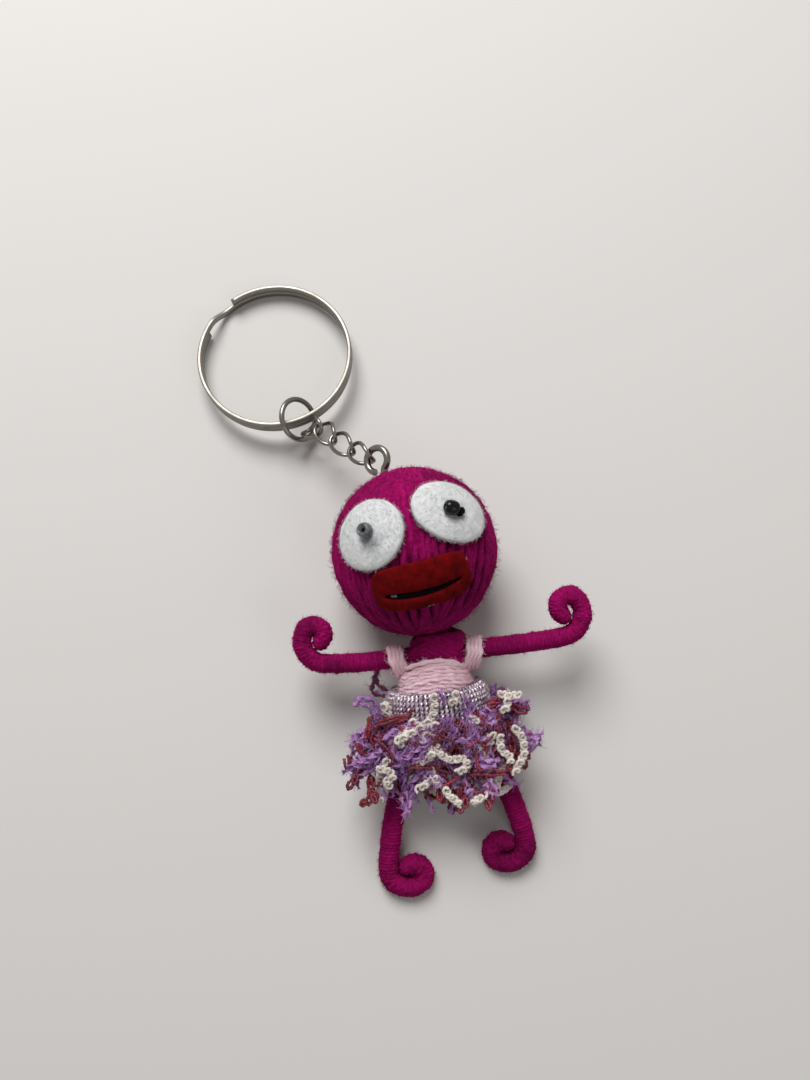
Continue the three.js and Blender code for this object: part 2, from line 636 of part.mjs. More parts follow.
function torsoHalves(drop) {
  const share = drop / TORSO_LENGTH;
  const next = Math.max(1, TORSO_SHARES.findIndex((row) => row.drop >= share));
  const above = TORSO_SHARES[next - 1];
  const below = TORSO_SHARES[next];
  const t = THREE.MathUtils.clamp((share - above.drop) / (below.drop - above.drop), 0, 1);
  return {
    wide: TORSO_HALF_WIDTH * THREE.MathUtils.lerp(above.wide, below.wide, t),
    deep: TORSO_HALF_DEPTH * THREE.MathUtils.lerp(above.deep, below.deep, t),
  };
}

// A level ring of points round the body, wider than the torso by a margin, going round as -Y is taken.
function bodyRing(drop, wide, deep, sides, shift = 0) {
  return circle(1, sides).map(([a, b]) => vec(shift + a * wide, -drop, b * deep));
}

function wirePaths() {
  const back = -SPINE_SET_BACK;
  const fork = HIP_DROP - HIP_HALF_WIDTH;
  const spine = new THREE.CatmullRomCurve3([
    vec(0, -2 * WIRE_GAP, 0), vec(0, -SHOULDER_DROP / 2, back / 2), vec(0, -SHOULDER_DROP, back),
    vec(0, -(SHOULDER_DROP + fork) / 2, back / 2), vec(0, -fork, 0),
  ]).getSpacedPoints(8);
  const towards = (from, to, stop) => to.clone().sub(from).setLength(from.distanceTo(to) - stop).add(from);
  const forkPoint = vec(0, -fork, 0);
  const branches = [-1, 1].map((side) => [forkPoint, towards(forkPoint, hipAt(side), LEG_RADIUS + WIRE_GAP)]);
  const shoulder = [-1, 1].map((side) => vec(
    side * (SHOULDER_HALF_WIDTH - ARM_RADIUS - WIRE_GAP), -SHOULDER_DROP, 0,
  ));
  return { spine, branches, shoulder };
}

function extend(path, reach) {
  const first = path[0];
  const last = path[path.length - 1];
  const head = first.clone().sub(path[1]).setLength(reach).add(first);
  const tail = last.clone().sub(path[path.length - 2]).setLength(reach).add(last);
  return [head, ...path.slice(1, -1), tail];
}

function spineSolid(radius, reach) {
  const { spine, branches } = wirePaths();
  const pieces = [spine, ...branches].map((path) => {
    const longer = reach > 0 ? extend(path, reach) : path;
    return tube(longer, WORLD_UP, radius, YARN_SIDES);
  });
  const ball = new THREE.IcosahedronGeometry(radius, 1).translate(0, -(HIP_DROP - HIP_HALF_WIDTH), 0);
  return join(...pieces, ball);
}

function buildTorso(body) {
  const rings = TORSO_SHARES.map(({ drop, wide, deep }) =>
    bodyRing(drop * TORSO_LENGTH, TORSO_HALF_WIDTH * wide, TORSO_HALF_DEPTH * deep, 20));
  const trunk = loft(rings);
  const stubEnd = SHOULDER_HALF_WIDTH;
  const stubs = rod(vec(-stubEnd, -SHOULDER_DROP, 0), vec(stubEnd, -SHOULDER_DROP, 0), SHOULDER_STUB_RADIUS, 12);
  const sockets = [-1, 1].flatMap((side) => {
    const shoulder = new THREE.SphereGeometry(ARM_RADIUS + SEAT_GAP, 14, 10);
    const hip = new THREE.SphereGeometry(LEG_RADIUS + SEAT_GAP, 14, 10);
    const at = shoulderAt(side);
    const hipPlace = hipAt(side);
    return [shoulder.translate(at.x, at.y, at.z), hip.translate(hipPlace.x, hipPlace.y, hipPlace.z)];
  });
  const { shoulder } = wirePaths();
  const boreRadius = WIRE_RADIUS + WIRE_BORE_GAP;
  const solid = cut(
    join(trunk, stubs), ...sockets, spineSolid(boreRadius, CUT_OVERRUN),
    tube(extend(shoulder, CUT_OVERRUN), WORLD_UP, boreRadius, YARN_SIDES),
  );
  addMesh(body, 'torso_winding', solid, 'magenta_yarn');
  addMesh(body, 'spine_wire', spineSolid(WIRE_RADIUS, 0), 'iron_wire');
  addMesh(body, 'shoulder_wire', tube(shoulder, WORLD_UP, WIRE_RADIUS, WIRE_SIDES), 'iron_wire');
}

// One unbroken yarn wound round the chest, and one round each shoulder.
function buildBodice(body) {
  const count = BODICE_LOOPS * LOOP_STEPS;
  const path = Array.from({ length: count + 1 }, (_, k) => {
    const angle = (k / LOOP_STEPS) * 2 * Math.PI - Math.PI / 2;
    const drop = BODICE_TOP + (BODICE_PITCH * k) / LOOP_STEPS + BODICE_ARCH * Math.cos(angle) ** 2;
    const { wide, deep } = torsoHalves(drop);
    const out = SEAT_GAP + BODICE_YARN_RADIUS;
    return vec((wide + out) * Math.cos(angle), -drop, (deep + out) * Math.sin(angle));
  });
  addMesh(body, 'bodice_winding', tube(path, bodyAxis, BODICE_YARN_RADIUS, YARN_SIDES), 'pink_yarn');
  reportGap('bodice_winding', path, BODICE_YARN_RADIUS, LOOP_STEPS / 2);

  for (const side of [-1, 1]) {
    const out = SHOULDER_STUB_RADIUS + SEAT_GAP + STRAP_YARN_RADIUS;
    const outerEdge = SHOULDER_HALF_WIDTH - ARM_RADIUS + SEAT_GAP;
    const strapPath = Array.from({ length: STRAP_LOOPS * LOOP_STEPS + 1 }, (_, k) => {
      const angle = (k / LOOP_STEPS) * 2 * Math.PI + Math.PI;
      const x = outerEdge - STRAP_YARN_RADIUS - (STRAP_PITCH * k) / LOOP_STEPS;
      return vec(side * x, -SHOULDER_DROP + out * Math.cos(angle), out * Math.sin(angle));
    });
    const name = `strap_${side < 0 ? 'left' : 'right'}`;
    addMesh(body, name, tube(strapPath, vec(1, 0, 0), STRAP_YARN_RADIUS, YARN_SIDES), 'pink_yarn');
    reportGap(name, strapPath, STRAP_YARN_RADIUS, LOOP_STEPS / 2);
  }
}

// Prints the least distance between the skins of two stretches of one yarn, measured on its points.
function reportGap(name, path, radius, apart) {
  let least = Infinity;
  for (let i = 0; i < path.length; i++) {
    for (let j = i + apart; j < path.length; j++) least = Math.min(least, path[i].distanceTo(path[j]));
  }
  console.log(`${name}: least gap to itself ${(least - 2 * radius).toFixed(2)} mm`);
}

// Points of a hook that tightens from a wide approach into a round curl.
function curl(centre, hookRadius, curlRadius, fromDeg, turnDeg, side) {
  const steps = Math.round(Math.abs(turnDeg) / 20);
  const tighten = 115;
  return Array.from({ length: steps + 1 }, (_, k) => {
    const turned = (Math.abs(turnDeg) * k) / steps;
    const left = Math.max(0, 1 - turned / tighten);
    const radius = curlRadius + (hookRadius - curlRadius) * left * left;
    const angle = rad(fromDeg + Math.sign(turnDeg) * turned);
    return vec(side * (centre.x + radius * Math.cos(angle)), centre.y + radius * Math.sin(angle), 0);
  });
}

// A wound limb on a wire: a round inner end at the pivot, a long taper and a round tip.
function limb(points, innerRadius, tipRadius, steps) {
  const curve = new THREE.CatmullRomCurve3(points, false, 'centripetal');
  const middle = curve.getSpacedPoints(steps);
  const startWay = middle[1].clone().sub(middle[0]).normalize();
  const endWay = middle[steps].clone().sub(middle[steps - 1]).normalize();
  const path = [];
  const radii = [];
  for (const angleDeg of [70, 40]) {
    path.push(middle[0].clone().addScaledVector(startWay, -innerRadius * Math.sin(rad(angleDeg))));
    radii.push(innerRadius * Math.cos(rad(angleDeg)));
  }
  middle.forEach((point, k) => {
    path.push(point);
    radii.push(THREE.MathUtils.lerp(innerRadius, tipRadius, k / steps));
  });
  for (const angleDeg of [40, 70]) {
    path.push(middle[steps].clone().addScaledVector(endWay, tipRadius * Math.sin(rad(angleDeg)) / 2));
    radii.push(tipRadius * Math.cos(rad(angleDeg)));
  }
  const skin = sweep(path, WORLD_UP, (k) => circle(radii[k], LIMB_SIDES));
  const wirePath = middle.slice(0, -1);
  const borePath = [path[0].clone().addScaledVector(startWay, -CUT_OVERRUN), ...wirePath];
  return {
    winding: cut(skin, tube(borePath, WORLD_UP, WIRE_RADIUS + WIRE_BORE_GAP, YARN_SIDES)),
    wire: tube(wirePath.slice(0, -1), WORLD_UP, WIRE_RADIUS, YARN_SIDES),
  };
}

const HANDS = [
  { side: -1, name: 'left', out: LEFT_HAND_OUT, up: LEFT_HAND_UP },
  { side: 1, name: 'right', out: RIGHT_HAND_OUT, up: RIGHT_HAND_UP },
];

function buildArms(body) {
  for (const { side, name, out, up } of HANDS) {
    const shoulder = vec(SHOULDER_HALF_WIDTH, -SHOULDER_DROP, 0);
    const centre = vec(out, up, 0);
    const hook = curl(centre, HAND_HOOK_RADIUS, HAND_CURL_RADIUS, 270, HAND_CURL_DEG, side);
    const elbowX = (shoulder.x + out) / 2;
    const elbowY = (shoulder.y + up - HAND_HOOK_RADIUS) / 2 - ARM_BOW;
    const points = [vec(side * shoulder.x, shoulder.y, 0), vec(side * elbowX, elbowY, 0), ...hook];
    const arm = limb(points, ARM_RADIUS, ARM_TIP_RADIUS, 20);
    addMesh(body, `arm_winding_${name}`, arm.winding, 'magenta_yarn');
    addMesh(body, `arm_wire_${name}`, arm.wire, 'iron_wire');
  }
}

const FEET = [
  { side: -1, name: 'left', out: LEFT_FOOT_OUT, down: LEFT_FOOT_DOWN },
  { side: 1, name: 'right', out: RIGHT_FOOT_OUT, down: RIGHT_FOOT_DOWN },
];
const KNEE_SHARE = 0.55;

function buildLegs() {
  for (const { side, name, out, down } of FEET) {
    const hip = vec(HIP_HALF_WIDTH, -HIP_DROP, 0);
    const centre = vec(out, -down, 0);
    const hook = curl(centre, FOOT_HOOK_RADIUS, FOOT_CURL_RADIUS, 0, -FOOT_CURL_DEG, side);
    const ankleX = out + FOOT_HOOK_RADIUS;
    const knee = vec(
      side * (THREE.MathUtils.lerp(hip.x, ankleX, KNEE_SHARE) + LEG_BOW),
      THREE.MathUtils.lerp(hip.y, -down, KNEE_SHARE), 0,
    );
    const points = [vec(side * hip.x, hip.y, 0), knee, ...hook].map((p) => p.sub(hipAt(side)));
    const leg = limb(points, LEG_RADIUS, LEG_TIP_RADIUS, 28);

    // The leg slopes from the hip so that the lowest bend of its foot is pressed flat on the floor.
    const hipPlace = hipAt(side).applyMatrix4(bodyMatrix);
    const lowest = vec(side * out, -down - FOOT_CURL_RADIUS, 0).sub(hipAt(side));
    const turn = rad(BODY_TURN_DEG);
    const run = Math.sin(turn) * lowest.x + Math.cos(turn) * lowest.y;
    const slope = Math.asin((LEG_RADIUS - FOOT_FLAT_DEPTH - hipPlace.z) / run);
    const matrix = new THREE.Matrix4().makeRotationX(slope)
      .multiply(new THREE.Matrix4().makeRotationZ(turn)).setPosition(hipPlace);
    addMesh(part, `leg_winding_${name}`, cutAtFloor(leg.winding.applyMatrix4(matrix)), 'magenta_yarn');
    addMesh(part, `leg_wire_${name}`, leg.wire.applyMatrix4(matrix), 'iron_wire');
  }
}

// Heading band of the skirt: a thick oval ring that flares a little downwards.
function buildBand(body) {
  const under = 2 * (SEAT_GAP + BODICE_YARN_RADIUS);
  const inside = { wide: TORSO_HALF_WIDTH + under, deep: TORSO_HALF_DEPTH + under };
  const ringAt = (share, out) => bodyRing(
    BAND_TOP + BAND_HEIGHT * share, inside.wide + out + BAND_FLARE * share, inside.deep + out + BAND_FLARE * share,
    28, 0,
  );
  const outer = [0, 0.5, 1].map((share) => ringAt(share, BAND_THICKNESS));
  const inner = [1, 0.5, 0].map((share) => ringAt(share, 0));
  addMesh(body, 'skirt_band', loft([...outer, ...inner], { looped: true }), 'silver_band');
}

// Half the width that each layer starts with under the band, as a share of the band's own, and how deep
// the back layer sinks on the floor, as a share of its thickness.
const FRONT_START_SHARE = 0.93;
const BACK_START_SHARE = 0.8;
const FLOOR_LIE_SHARE = 0.45;
const TUFT_YARNS = ['fringe_yarn', 'maroon_yarn', 'cream_yarn'];

// Shares along a tuft from the band to the hem, with its width and thickness there.
const TUFT_SHARES = [
  { along: 0, wide: 0.8, thick: 0.7 },
  { along: 0.12, wide: 1, thick: 0.9 },
  { along: 0.35, wide: 1, thick: 1 },
  { along: 0.62, wide: 1, thick: 1 },
  { along: 0.86, wide: 0.94, thick: 0.95 },
  { along: 0.97, wide: 0.7, thick: 0.7 },
  { along: 1, wide: 0.35, thick: 0.4 },
];

// One tuft of the fan. fanDeg is its direction at the hem, measured from straight down.
function tuftGeometry(fanDeg, slot, layer) {
  const bandFoot = BAND_TOP + BAND_HEIGHT + SEAT_GAP;
  const slotWidth = (2 * layer.startHalf) / TUFTS_A_LAYER;
  const startX = -layer.startHalf + slotWidth * (slot + 0.5);
  const start = vec(startX, -bandFoot, layer.startRise(startX));
  const end = vec(
    SKIRT_CENTRE_SHIFT + SKIRT_RADIUS * Math.sin(rad(fanDeg)),
    -SKIRT_CENTRE_DROP - SKIRT_RADIUS * Math.cos(rad(fanDeg)),
    0,
  );
  const spacing = SKIRT_RADIUS * rad(layer.fanDeg / (TUFTS_A_LAYER - 1));
  const run = end.clone().sub(start).setZ(0).normalize();
  const square = vec(-run.y, run.x, 0);
  const rings = TUFT_SHARES.map(({ along, wide, thick }) => {
    const middle = start.clone().lerp(end, along);
    middle.z = layer.riseAt(along, start, middle, fanDeg);
    const halfWide = (THREE.MathUtils.lerp(slotWidth, spacing, along) - TUFT_GAP) * 0.5 * wide;
    const halfThick = (layer.thickness / 2) * thick;
    const across = vec(1, 0, 0).lerp(square, Math.min(1, along * 2)).normalize();
    return circle(1, 8).map(([a, b]) => middle.clone()
      .addScaledVector(across, a * halfWide).add(vec(0, 0, b * halfThick)));
  });
  return loft(rings);
}

function buildSkirt() {
  const outward = 2 * (SEAT_GAP + BODICE_YARN_RADIUS) + BAND_THICKNESS / 2 + BAND_FLARE;
  const bandWide = TORSO_HALF_WIDTH + outward;
  const bandDeep = TORSO_HALF_DEPTH + outward;
  const edgeRise = (x) => bandDeep * Math.sqrt(Math.max(0, 1 - (x / bandWide) ** 2));
  const overLegs = LEG_RADIUS + 2 * SEAT_GAP + TUFT_THICKNESS / 2;
  const smooth = (t) => t * t * (3 - 2 * t);
  const toWorld = (point) => point.clone().applyMatrix4(bodyMatrix);
  const front = {
    name: 'front', thickness: TUFT_THICKNESS, fanDeg: FRONT_FAN_DEG, startHalf: bandWide * FRONT_START_SHARE, first: 0,
    startRise: edgeRise,
    riseAt: (along, start) => THREE.MathUtils.lerp(start.z, overLegs, smooth(along)),
  };
  const back = {
    name: 'back', thickness: FLOOR_TUFT_THICKNESS, fanDeg: BACK_FAN_DEG, startHalf: bandWide * BACK_START_SHARE, first: 1,
    startRise: (x) => -edgeRise(x),
    riseAt: (along, start, middle) => {
      // Height over the floor of this place at zero rise, so that the hem lies on the floor.
      const level = toWorld(vec(middle.x, middle.y, 0)).z;
      const lying = (FLOOR_TUFT_THICKNESS * FLOOR_LIE_SHARE - level) / Math.cos(rad(BODY_SLOPE_DEG));
      return THREE.MathUtils.lerp(start.z, lying, smooth(Math.min(1, along / 0.6)));
    },
  };
  for (const layer of [front, back]) {
    for (let k = 0; k < TUFTS_A_LAYER; k++) {
      const fanDeg = -layer.fanDeg / 2 + (layer.fanDeg * k) / (TUFTS_A_LAYER - 1);
      const geometry = cutAtFloor(tuftGeometry(fanDeg, k, layer).applyMatrix4(bodyMatrix));
      const yarn = TUFT_YARNS[(k + layer.first) % TUFT_YARNS.length];
      addMesh(part, `fringe_tuft_${layer.name}_${k + 1}`, geometry, yarn);
    }
  }
}

buildHead();
buildFace();
buildScrewEye();
buildChain();
const body = new THREE.Group();
body.applyMatrix4(bodyMatrix);
part.add(body);
buildTorso(body);
buildBodice(body);
buildArms(body);
buildLegs();
buildBand(body);
buildSkirt();

export default part;
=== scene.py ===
import random
from math import asin, atan2, copysign, cos, hypot, pi, radians, sin, sqrt

import bpy
from mathutils import Matrix, Vector, noise


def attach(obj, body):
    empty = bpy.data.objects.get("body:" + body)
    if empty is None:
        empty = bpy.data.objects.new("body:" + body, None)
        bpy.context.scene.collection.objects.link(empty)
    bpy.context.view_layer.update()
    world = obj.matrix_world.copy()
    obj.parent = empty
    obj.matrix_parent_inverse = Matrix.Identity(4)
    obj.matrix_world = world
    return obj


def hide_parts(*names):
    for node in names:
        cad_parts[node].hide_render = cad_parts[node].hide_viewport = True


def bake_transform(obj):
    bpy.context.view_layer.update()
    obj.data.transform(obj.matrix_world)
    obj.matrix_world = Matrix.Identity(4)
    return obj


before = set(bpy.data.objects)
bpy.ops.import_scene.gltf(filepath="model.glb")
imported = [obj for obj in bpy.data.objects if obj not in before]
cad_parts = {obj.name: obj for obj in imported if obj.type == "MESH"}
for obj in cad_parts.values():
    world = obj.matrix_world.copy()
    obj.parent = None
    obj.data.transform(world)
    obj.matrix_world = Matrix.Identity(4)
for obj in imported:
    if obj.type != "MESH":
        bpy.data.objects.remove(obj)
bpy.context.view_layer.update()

# The picture is taken from above, leaning ten degrees towards the key ring. All sizes in this file are in
# millimetres and turned to metres where a mesh, a curve or a node takes them.
MM = 0.001
CAMERA_PLACE = Vector((-1.382, -19.824, 133.459))
CAMERA_LEAN_DEG = 10
CAMERA_LENS = 28.33


def place(name, data):
    """A new object in the scene that shows this data."""
    made = bpy.data.objects.new(name, data)
    bpy.context.scene.collection.objects.link(made)
    return made


lens = bpy.data.cameras.new("camera")
lens.lens = CAMERA_LENS
lens.sensor_width = 36
lens.clip_start = 0.005
camera = place("camera", lens)
camera.location = CAMERA_PLACE * MM
camera.rotation_euler = (radians(CAMERA_LEAN_DEG), 0, 0)
bpy.context.scene.camera = camera
bpy.context.scene.view_settings.view_transform = "Standard"


# Studio: a plain pale floor, one broad soft lamp above the key ring end, where the picture's own light
# comes from, and a weaker one on the other side.
def linear(hex_colour, alpha=1.0):
    """The linear colour of an sRGB hex value."""
    parts = [int(hex_colour[i:i + 2], 16) / 255 for i in (1, 3, 5)]
    return tuple(c / 12.92 if c <= 0.04045 else ((c + 0.055) / 1.055) ** 2.4 for c in parts) + (alpha,)


def feed(tree, made, inputs):
    """Sets a node's inputs. Each takes a value, or the node or socket that feeds it."""
    for key, value in inputs.items():
        if isinstance(value, bpy.types.Node):
            value = value.outputs[0]
        if isinstance(value, bpy.types.NodeSocket):
            tree.links.new(value, made.inputs[key])
        else:
            made.inputs[key].default_value = value
    return made


def node(tree, kind, inputs=None, **settings):
    """Adds a node with its settings and inputs."""
    made = tree.nodes.new(kind)
    for name, value in settings.items():
        setattr(made, name, value)
    return feed(tree, made, inputs or {})


def reckon(tree, operation, *values):
    """A Math node on values or sockets."""
    return node(tree, "ShaderNodeMath", dict(enumerate(values)), operation=operation)


def surface(name, inputs):
    """A material with its Principled shader's inputs set. Returns it, its tree and the shader."""
    material = bpy.data.materials.new(name)
    material.use_nodes = True
    tree = material.node_tree
    return material, tree, feed(tree, tree.nodes["Principled BSDF"], inputs)


def mottle(tree, size_mm, detail=2, roughness=0.5):
    """Noise in the piece's own coordinates, with lumps of this size."""
    at = node(tree, "ShaderNodeTexCoord")
    return node(tree, "ShaderNodeTexNoise", {"Vector": at.outputs["Object"], "Scale": 1 / (size_mm * MM),
                                             "Detail": detail, "Roughness": roughness}).outputs[0]


def mixed(tree, share, first, second):
    """A colour between two others, each a value or a socket."""
    return node(tree, "ShaderNodeMix", {0: share, 6: first, 7: second}, data_type="RGBA").outputs[2]


def relief(tree, height, strength, depth_mm):
    """A fine bump."""
    return node(tree, "ShaderNodeBump", {"Strength": strength, "Distance": depth_mm * MM, "Height": height})


def dress(material, *names):
    """Gives CAD nodes that are shown as they are their material."""
    for name in names:
        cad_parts[name].data.materials.clear()
        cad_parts[name].data.materials.append(material)


FLOOR_SIZE = 1600
paper, tree, shader = surface("matt_paper_floor", {
    "Base Color": linear("#d3d0cd"), "Roughness": 0.9, "Specular IOR Level": 0.2,
})
floor_mesh = bpy.data.meshes.new("floor")
half = FLOOR_SIZE / 2 * MM
floor_mesh.from_pydata([(-half, -half, 0), (half, -half, 0), (half, half, 0), (-half, half, 0)], [], [(0, 1, 2, 3)])
floor_mesh.materials.append(paper)
floor = place("floor", floor_mesh)

world = bpy.data.worlds.new("studio")
bpy.context.scene.world = world
world.use_nodes = True
world_tree = world.node_tree
backdrop = world_tree.nodes["Background"]
seen = node(world_tree, "ShaderNodeLightPath")
mirrored = reckon(world_tree, "MAXIMUM", seen.outputs["Is Camera Ray"], seen.outputs["Is Glossy Ray"])
shown = reckon(world_tree, "MAXIMUM", mirrored, seen.outputs["Is Transmission Ray"])
strength = node(world_tree, "ShaderNodeMapRange", {0: shown, 3: 0.23, 4: 0.6})
feed(world_tree, backdrop, {"Color": linear("#f2f1ef"), "Strength": strength})

LAMPS = [
    ("key_lamp", Vector((-110, 340, 400)), 340, 3.15),
    ("fill_lamp", Vector((260, -240, 300)), 300, 0.25),
]
for name, spot, size, power in LAMPS:
    lamp = bpy.data.lights.new(name, "AREA")
    lamp.shape = "DISK"
    lamp.size = size * MM
    lamp.energy = power
    holder = place(name, lamp)
    holder.location = spot * MM
    holder.rotation_euler = (-spot).to_track_quat("-Z", "Y").to_euler()


# Wooden ball inside the head: a turned beech ball, unpainted, with fine straight grain. It only shows
# where the winding parts.
beech, tree, shader = surface("turned_beech", {"Roughness": 0.6, "Specular IOR Level": 0.4})
at = node(tree, "ShaderNodeTexCoord")
grain_way = node(tree, "ShaderNodeMapping", {"Vector": at.outputs["Object"], "Scale": (900, 120, 900)})
grain = node(tree, "ShaderNodeTexNoise", {"Vector": grain_way, "Scale": 1, "Detail": 4})
feed(tree, shader, {"Base Color": mixed(tree, grain, linear("#d0a877"), linear("#a87c4c"))})
dress(beech, "head_core")


# Head winding: one length of magenta wool knitting yarn wound over the ball from crown to neck and back,
# each turn a little further round, so that the strands run down the face and cross near the crown.
HEAD_CENTRE = Vector((0, 0, 11.4))
HEAD_TURN_DEG = 16
HEAD_NOD_DEG = 7
HEAD_RADIUS = 11.9
HEAD_POLE_RADIUS = 12.2
HEAD_YARN_RADIUS = 0.66
HEAD_TURNS = 34
HEAD_SEAM_DEG = 78
HEAD_TURN_STEPS = 84
WOOL_TWIST = 2.6
head_matrix = (Matrix.Translation(HEAD_CENTRE) @ Matrix.Rotation(radians(HEAD_TURN_DEG), 4, "Z")
               @ Matrix.Rotation(radians(HEAD_NOD_DEG), 4, "X"))


def wool(name, pale, deep, speck_mm=0.5, sheen=0.35, roughness=0.95, gloss=0.15):
    """Wool yarn: no gloss, a soft bright edge from loose fibres, and a mottle of pale and deep dye."""
    material, tree, shader = surface(name, {
        "Roughness": roughness, "Specular IOR Level": gloss, "Sheen Weight": sheen, "Sheen Roughness": 0.6,
        "Sheen Tint": linear(pale),
    })
    fine = mottle(tree, speck_mm, 5, 0.7)
    both = reckon(tree, "ADD", mottle(tree, 6), fine)
    share = node(tree, "ShaderNodeMapRange", {0: both, 1: 0.72, 2: 1.25})
    feed(tree, shader, {"Base Color": mixed(tree, share, linear(deep), linear(pale)),
                        "Normal": relief(tree, fine, 0.6, 0.06)})
    return material


def new_group(name, inputs):
    """An empty Geometry Nodes group with the named inputs. Returns it with its input node."""
    tree = bpy.data.node_groups.new(name, "GeometryNodeTree")
    tree.interface.new_socket(name="Geometry", in_out="INPUT", socket_type="NodeSocketGeometry")
    for key, kind in inputs.items():
        tree.interface.new_socket(name=key, in_out="INPUT", socket_type="NodeSocket" + kind)
    tree.interface.new_socket(name="Geometry", in_out="OUTPUT", socket_type="NodeSocketGeometry")
    return tree, node(tree, "NodeGroupInput").outputs


def twisted_yarn():
    """Follows curves with a flattened section that turns as it goes, which reads as two plies."""
    tree, given = new_group("twisted_yarn", {
        "Yarn Radius": "Float", "Flatness": "Float", "Twist Length": "Float", "Step": "Float", "Sides": "Int",
        "Yarn": "Material",
    })
    cut = node(tree, "GeometryNodeResampleCurve", {"Curve": given["Geometry"], "Length": given["Step"]},
               mode="LENGTH")
    along = node(tree, "GeometryNodeSplineParameter")
    turns = reckon(tree, "DIVIDE", along.outputs["Length"], given["Twist Length"])
    angle = reckon(tree, "MULTIPLY", turns, 2 * pi)
    twisted = node(tree, "GeometryNodeSetCurveTilt", {"Curve": cut, "Tilt": angle})
    ring = node(tree, "GeometryNodeCurvePrimitiveCircle",
                {"Resolution": given["Sides"], "Radius": given["Yarn Radius"]})
    squeeze = node(tree, "ShaderNodeCombineXYZ", {0: 1.0, 1: given["Flatness"], 2: 1.0})
    section = node(tree, "GeometryNodeTransform", {"Geometry": ring, "Scale": squeeze})
    thick = node(tree, "GeometryNodeInputRadius")
    body = node(tree, "GeometryNodeCurveToMesh",
                {"Curve": twisted, "Profile Curve": section, "Scale": thick, "Fill Caps": True})
    smooth = node(tree, "GeometryNodeSetShadeSmooth", {"Geometry": body})
    dressed = node(tree, "GeometryNodeSetMaterial", {0: smooth, "Material": given["Yarn"]})
    node(tree, "NodeGroupOutput", {0: dressed})
    return tree


def nap():
    """Lets short bent fibres stand out of a surface."""
    tree, given = new_group("nap", {
        "Fibre Length": "Float", "Fibre Radius": "Float", "Fibre Density": "Float", "Rise": "Float", "Seed": "Int",
        "Yarn": "Material",
    })
    spread = node(tree, "GeometryNodeDistributePointsOnFaces",
                  {"Mesh": given["Geometry"], "Density": given["Fibre Density"], "Seed": given["Seed"]})
    reach = given["Fibre Length"]
    height = reckon(tree, "MULTIPLY", reach, given["Rise"])
    half_way = reckon(tree, "MULTIPLY", reach, 0.35)
    middle = node(tree, "ShaderNodeCombineXYZ", {0: half_way, 1: 0.0, 2: height})
    tip = node(tree, "ShaderNodeCombineXYZ", {0: reach, 1: half_way, 2: height})
    hair = node(tree, "GeometryNodeCurveQuadraticBezier",
                {"Resolution": 4, "Start": (0, 0, 0), "Middle": middle, "End": tip})
    hair_ring = node(tree, "GeometryNodeCurvePrimitiveCircle", {"Resolution": 3, "Radius": given["Fibre Radius"]})
    hair_line = node(tree, "GeometryNodeResampleCurve", {"Curve": hair, "Count": 3}, mode="COUNT")
    hair_body = node(tree, "GeometryNodeCurveToMesh", {"Curve": hair_line, "Profile Curve": hair_ring})
    lean = node(tree, "FunctionNodeRandomValue",
                {0: (-0.5, -0.5, -3.2), 1: (0.5, 0.5, 3.2), "Seed": given["Seed"]}, data_type="FLOAT_VECTOR")
    lean_turn = node(tree, "FunctionNodeEulerToRotation", {0: lean})
    stand = node(tree, "FunctionNodeRotateRotation", {0: spread.outputs["Rotation"], 1: lean_turn},
                 rotation_space="LOCAL")
    size = node(tree, "FunctionNodeRandomValue", {2: 0.4, 3: 1.2, "Seed": given["Seed"]}, data_type="FLOAT")
    fuzz = node(tree, "GeometryNodeInstanceOnPoints",
                {"Points": spread, "Instance": hair_body, "Rotation": stand, "Scale": size.outputs[1]})
    real = node(tree, "GeometryNodeRealizeInstances", {"Geometry": fuzz})
    dressed = node(tree, "GeometryNodeSetMaterial", {0: real, "Material": given["Yarn"]})
    both = node(tree, "GeometryNodeJoinGeometry")
    tree.links.new(dressed.outputs[0], both.inputs[0])
    tree.links.new(given["Geometry"], both.inputs[0])
    node(tree, "NodeGroupOutput", {0: both})
    return tree


TWISTED_YARN = twisted_yarn()
NAP = nap()


def grow(name, source, steps):
    """Runs Geometry Nodes groups on a curve or mesh, keeps the result as a plain mesh and drops the source. Loose
    fibres that would sink into the floor are pressed flat on it."""
    start = place(name + "_source", source)
    for tree, inputs in steps:
        modifier = start.modifiers.new(tree.name, "NODES")
        modifier.node_group = tree
        for item in tree.interface.items_tree:
            if item.in_out == "INPUT" and item.name in inputs:
                modifier[item.identifier] = inputs[item.name]
    made = bpy.data.meshes.new_from_object(start.evaluated_get(bpy.context.evaluated_depsgraph_get()))
    bpy.data.objects.remove(start)
    made.name = name
    for vertex in made.vertices:
        if vertex.co.z < 0:
            vertex.co.z *= 0.02
    return place(name, made)


def strands(name, paths, looped=False):
    """Curve data with one strand for each row of points. A fourth number scales the radius."""
    data = bpy.data.curves.new(name, "CURVE")
    data.dimensions = "3D"
    for path in paths:
        spline = data.splines.new("POLY")
        spline.points.add(len(path) - 1)
        for point, spot in zip(spline.points, path):
            point.co = (spot[0] * MM, spot[1] * MM, spot[2] * MM, 1)
            point.radius = spot[3] if len(spot) > 3 else 1.0
        spline.use_cyclic_u = looped
    return data


def fibres(material, length, density, rise=0.5, radius=0.018, seed=1):
    """The nap step. density is loose fibres to the square millimetre."""
    return NAP, {"Fibre Length": length * MM, "Fibre Radius": radius * MM, "Fibre Density": density / MM ** 2,
                 "Rise": rise, "Seed": seed, "Yarn": material}


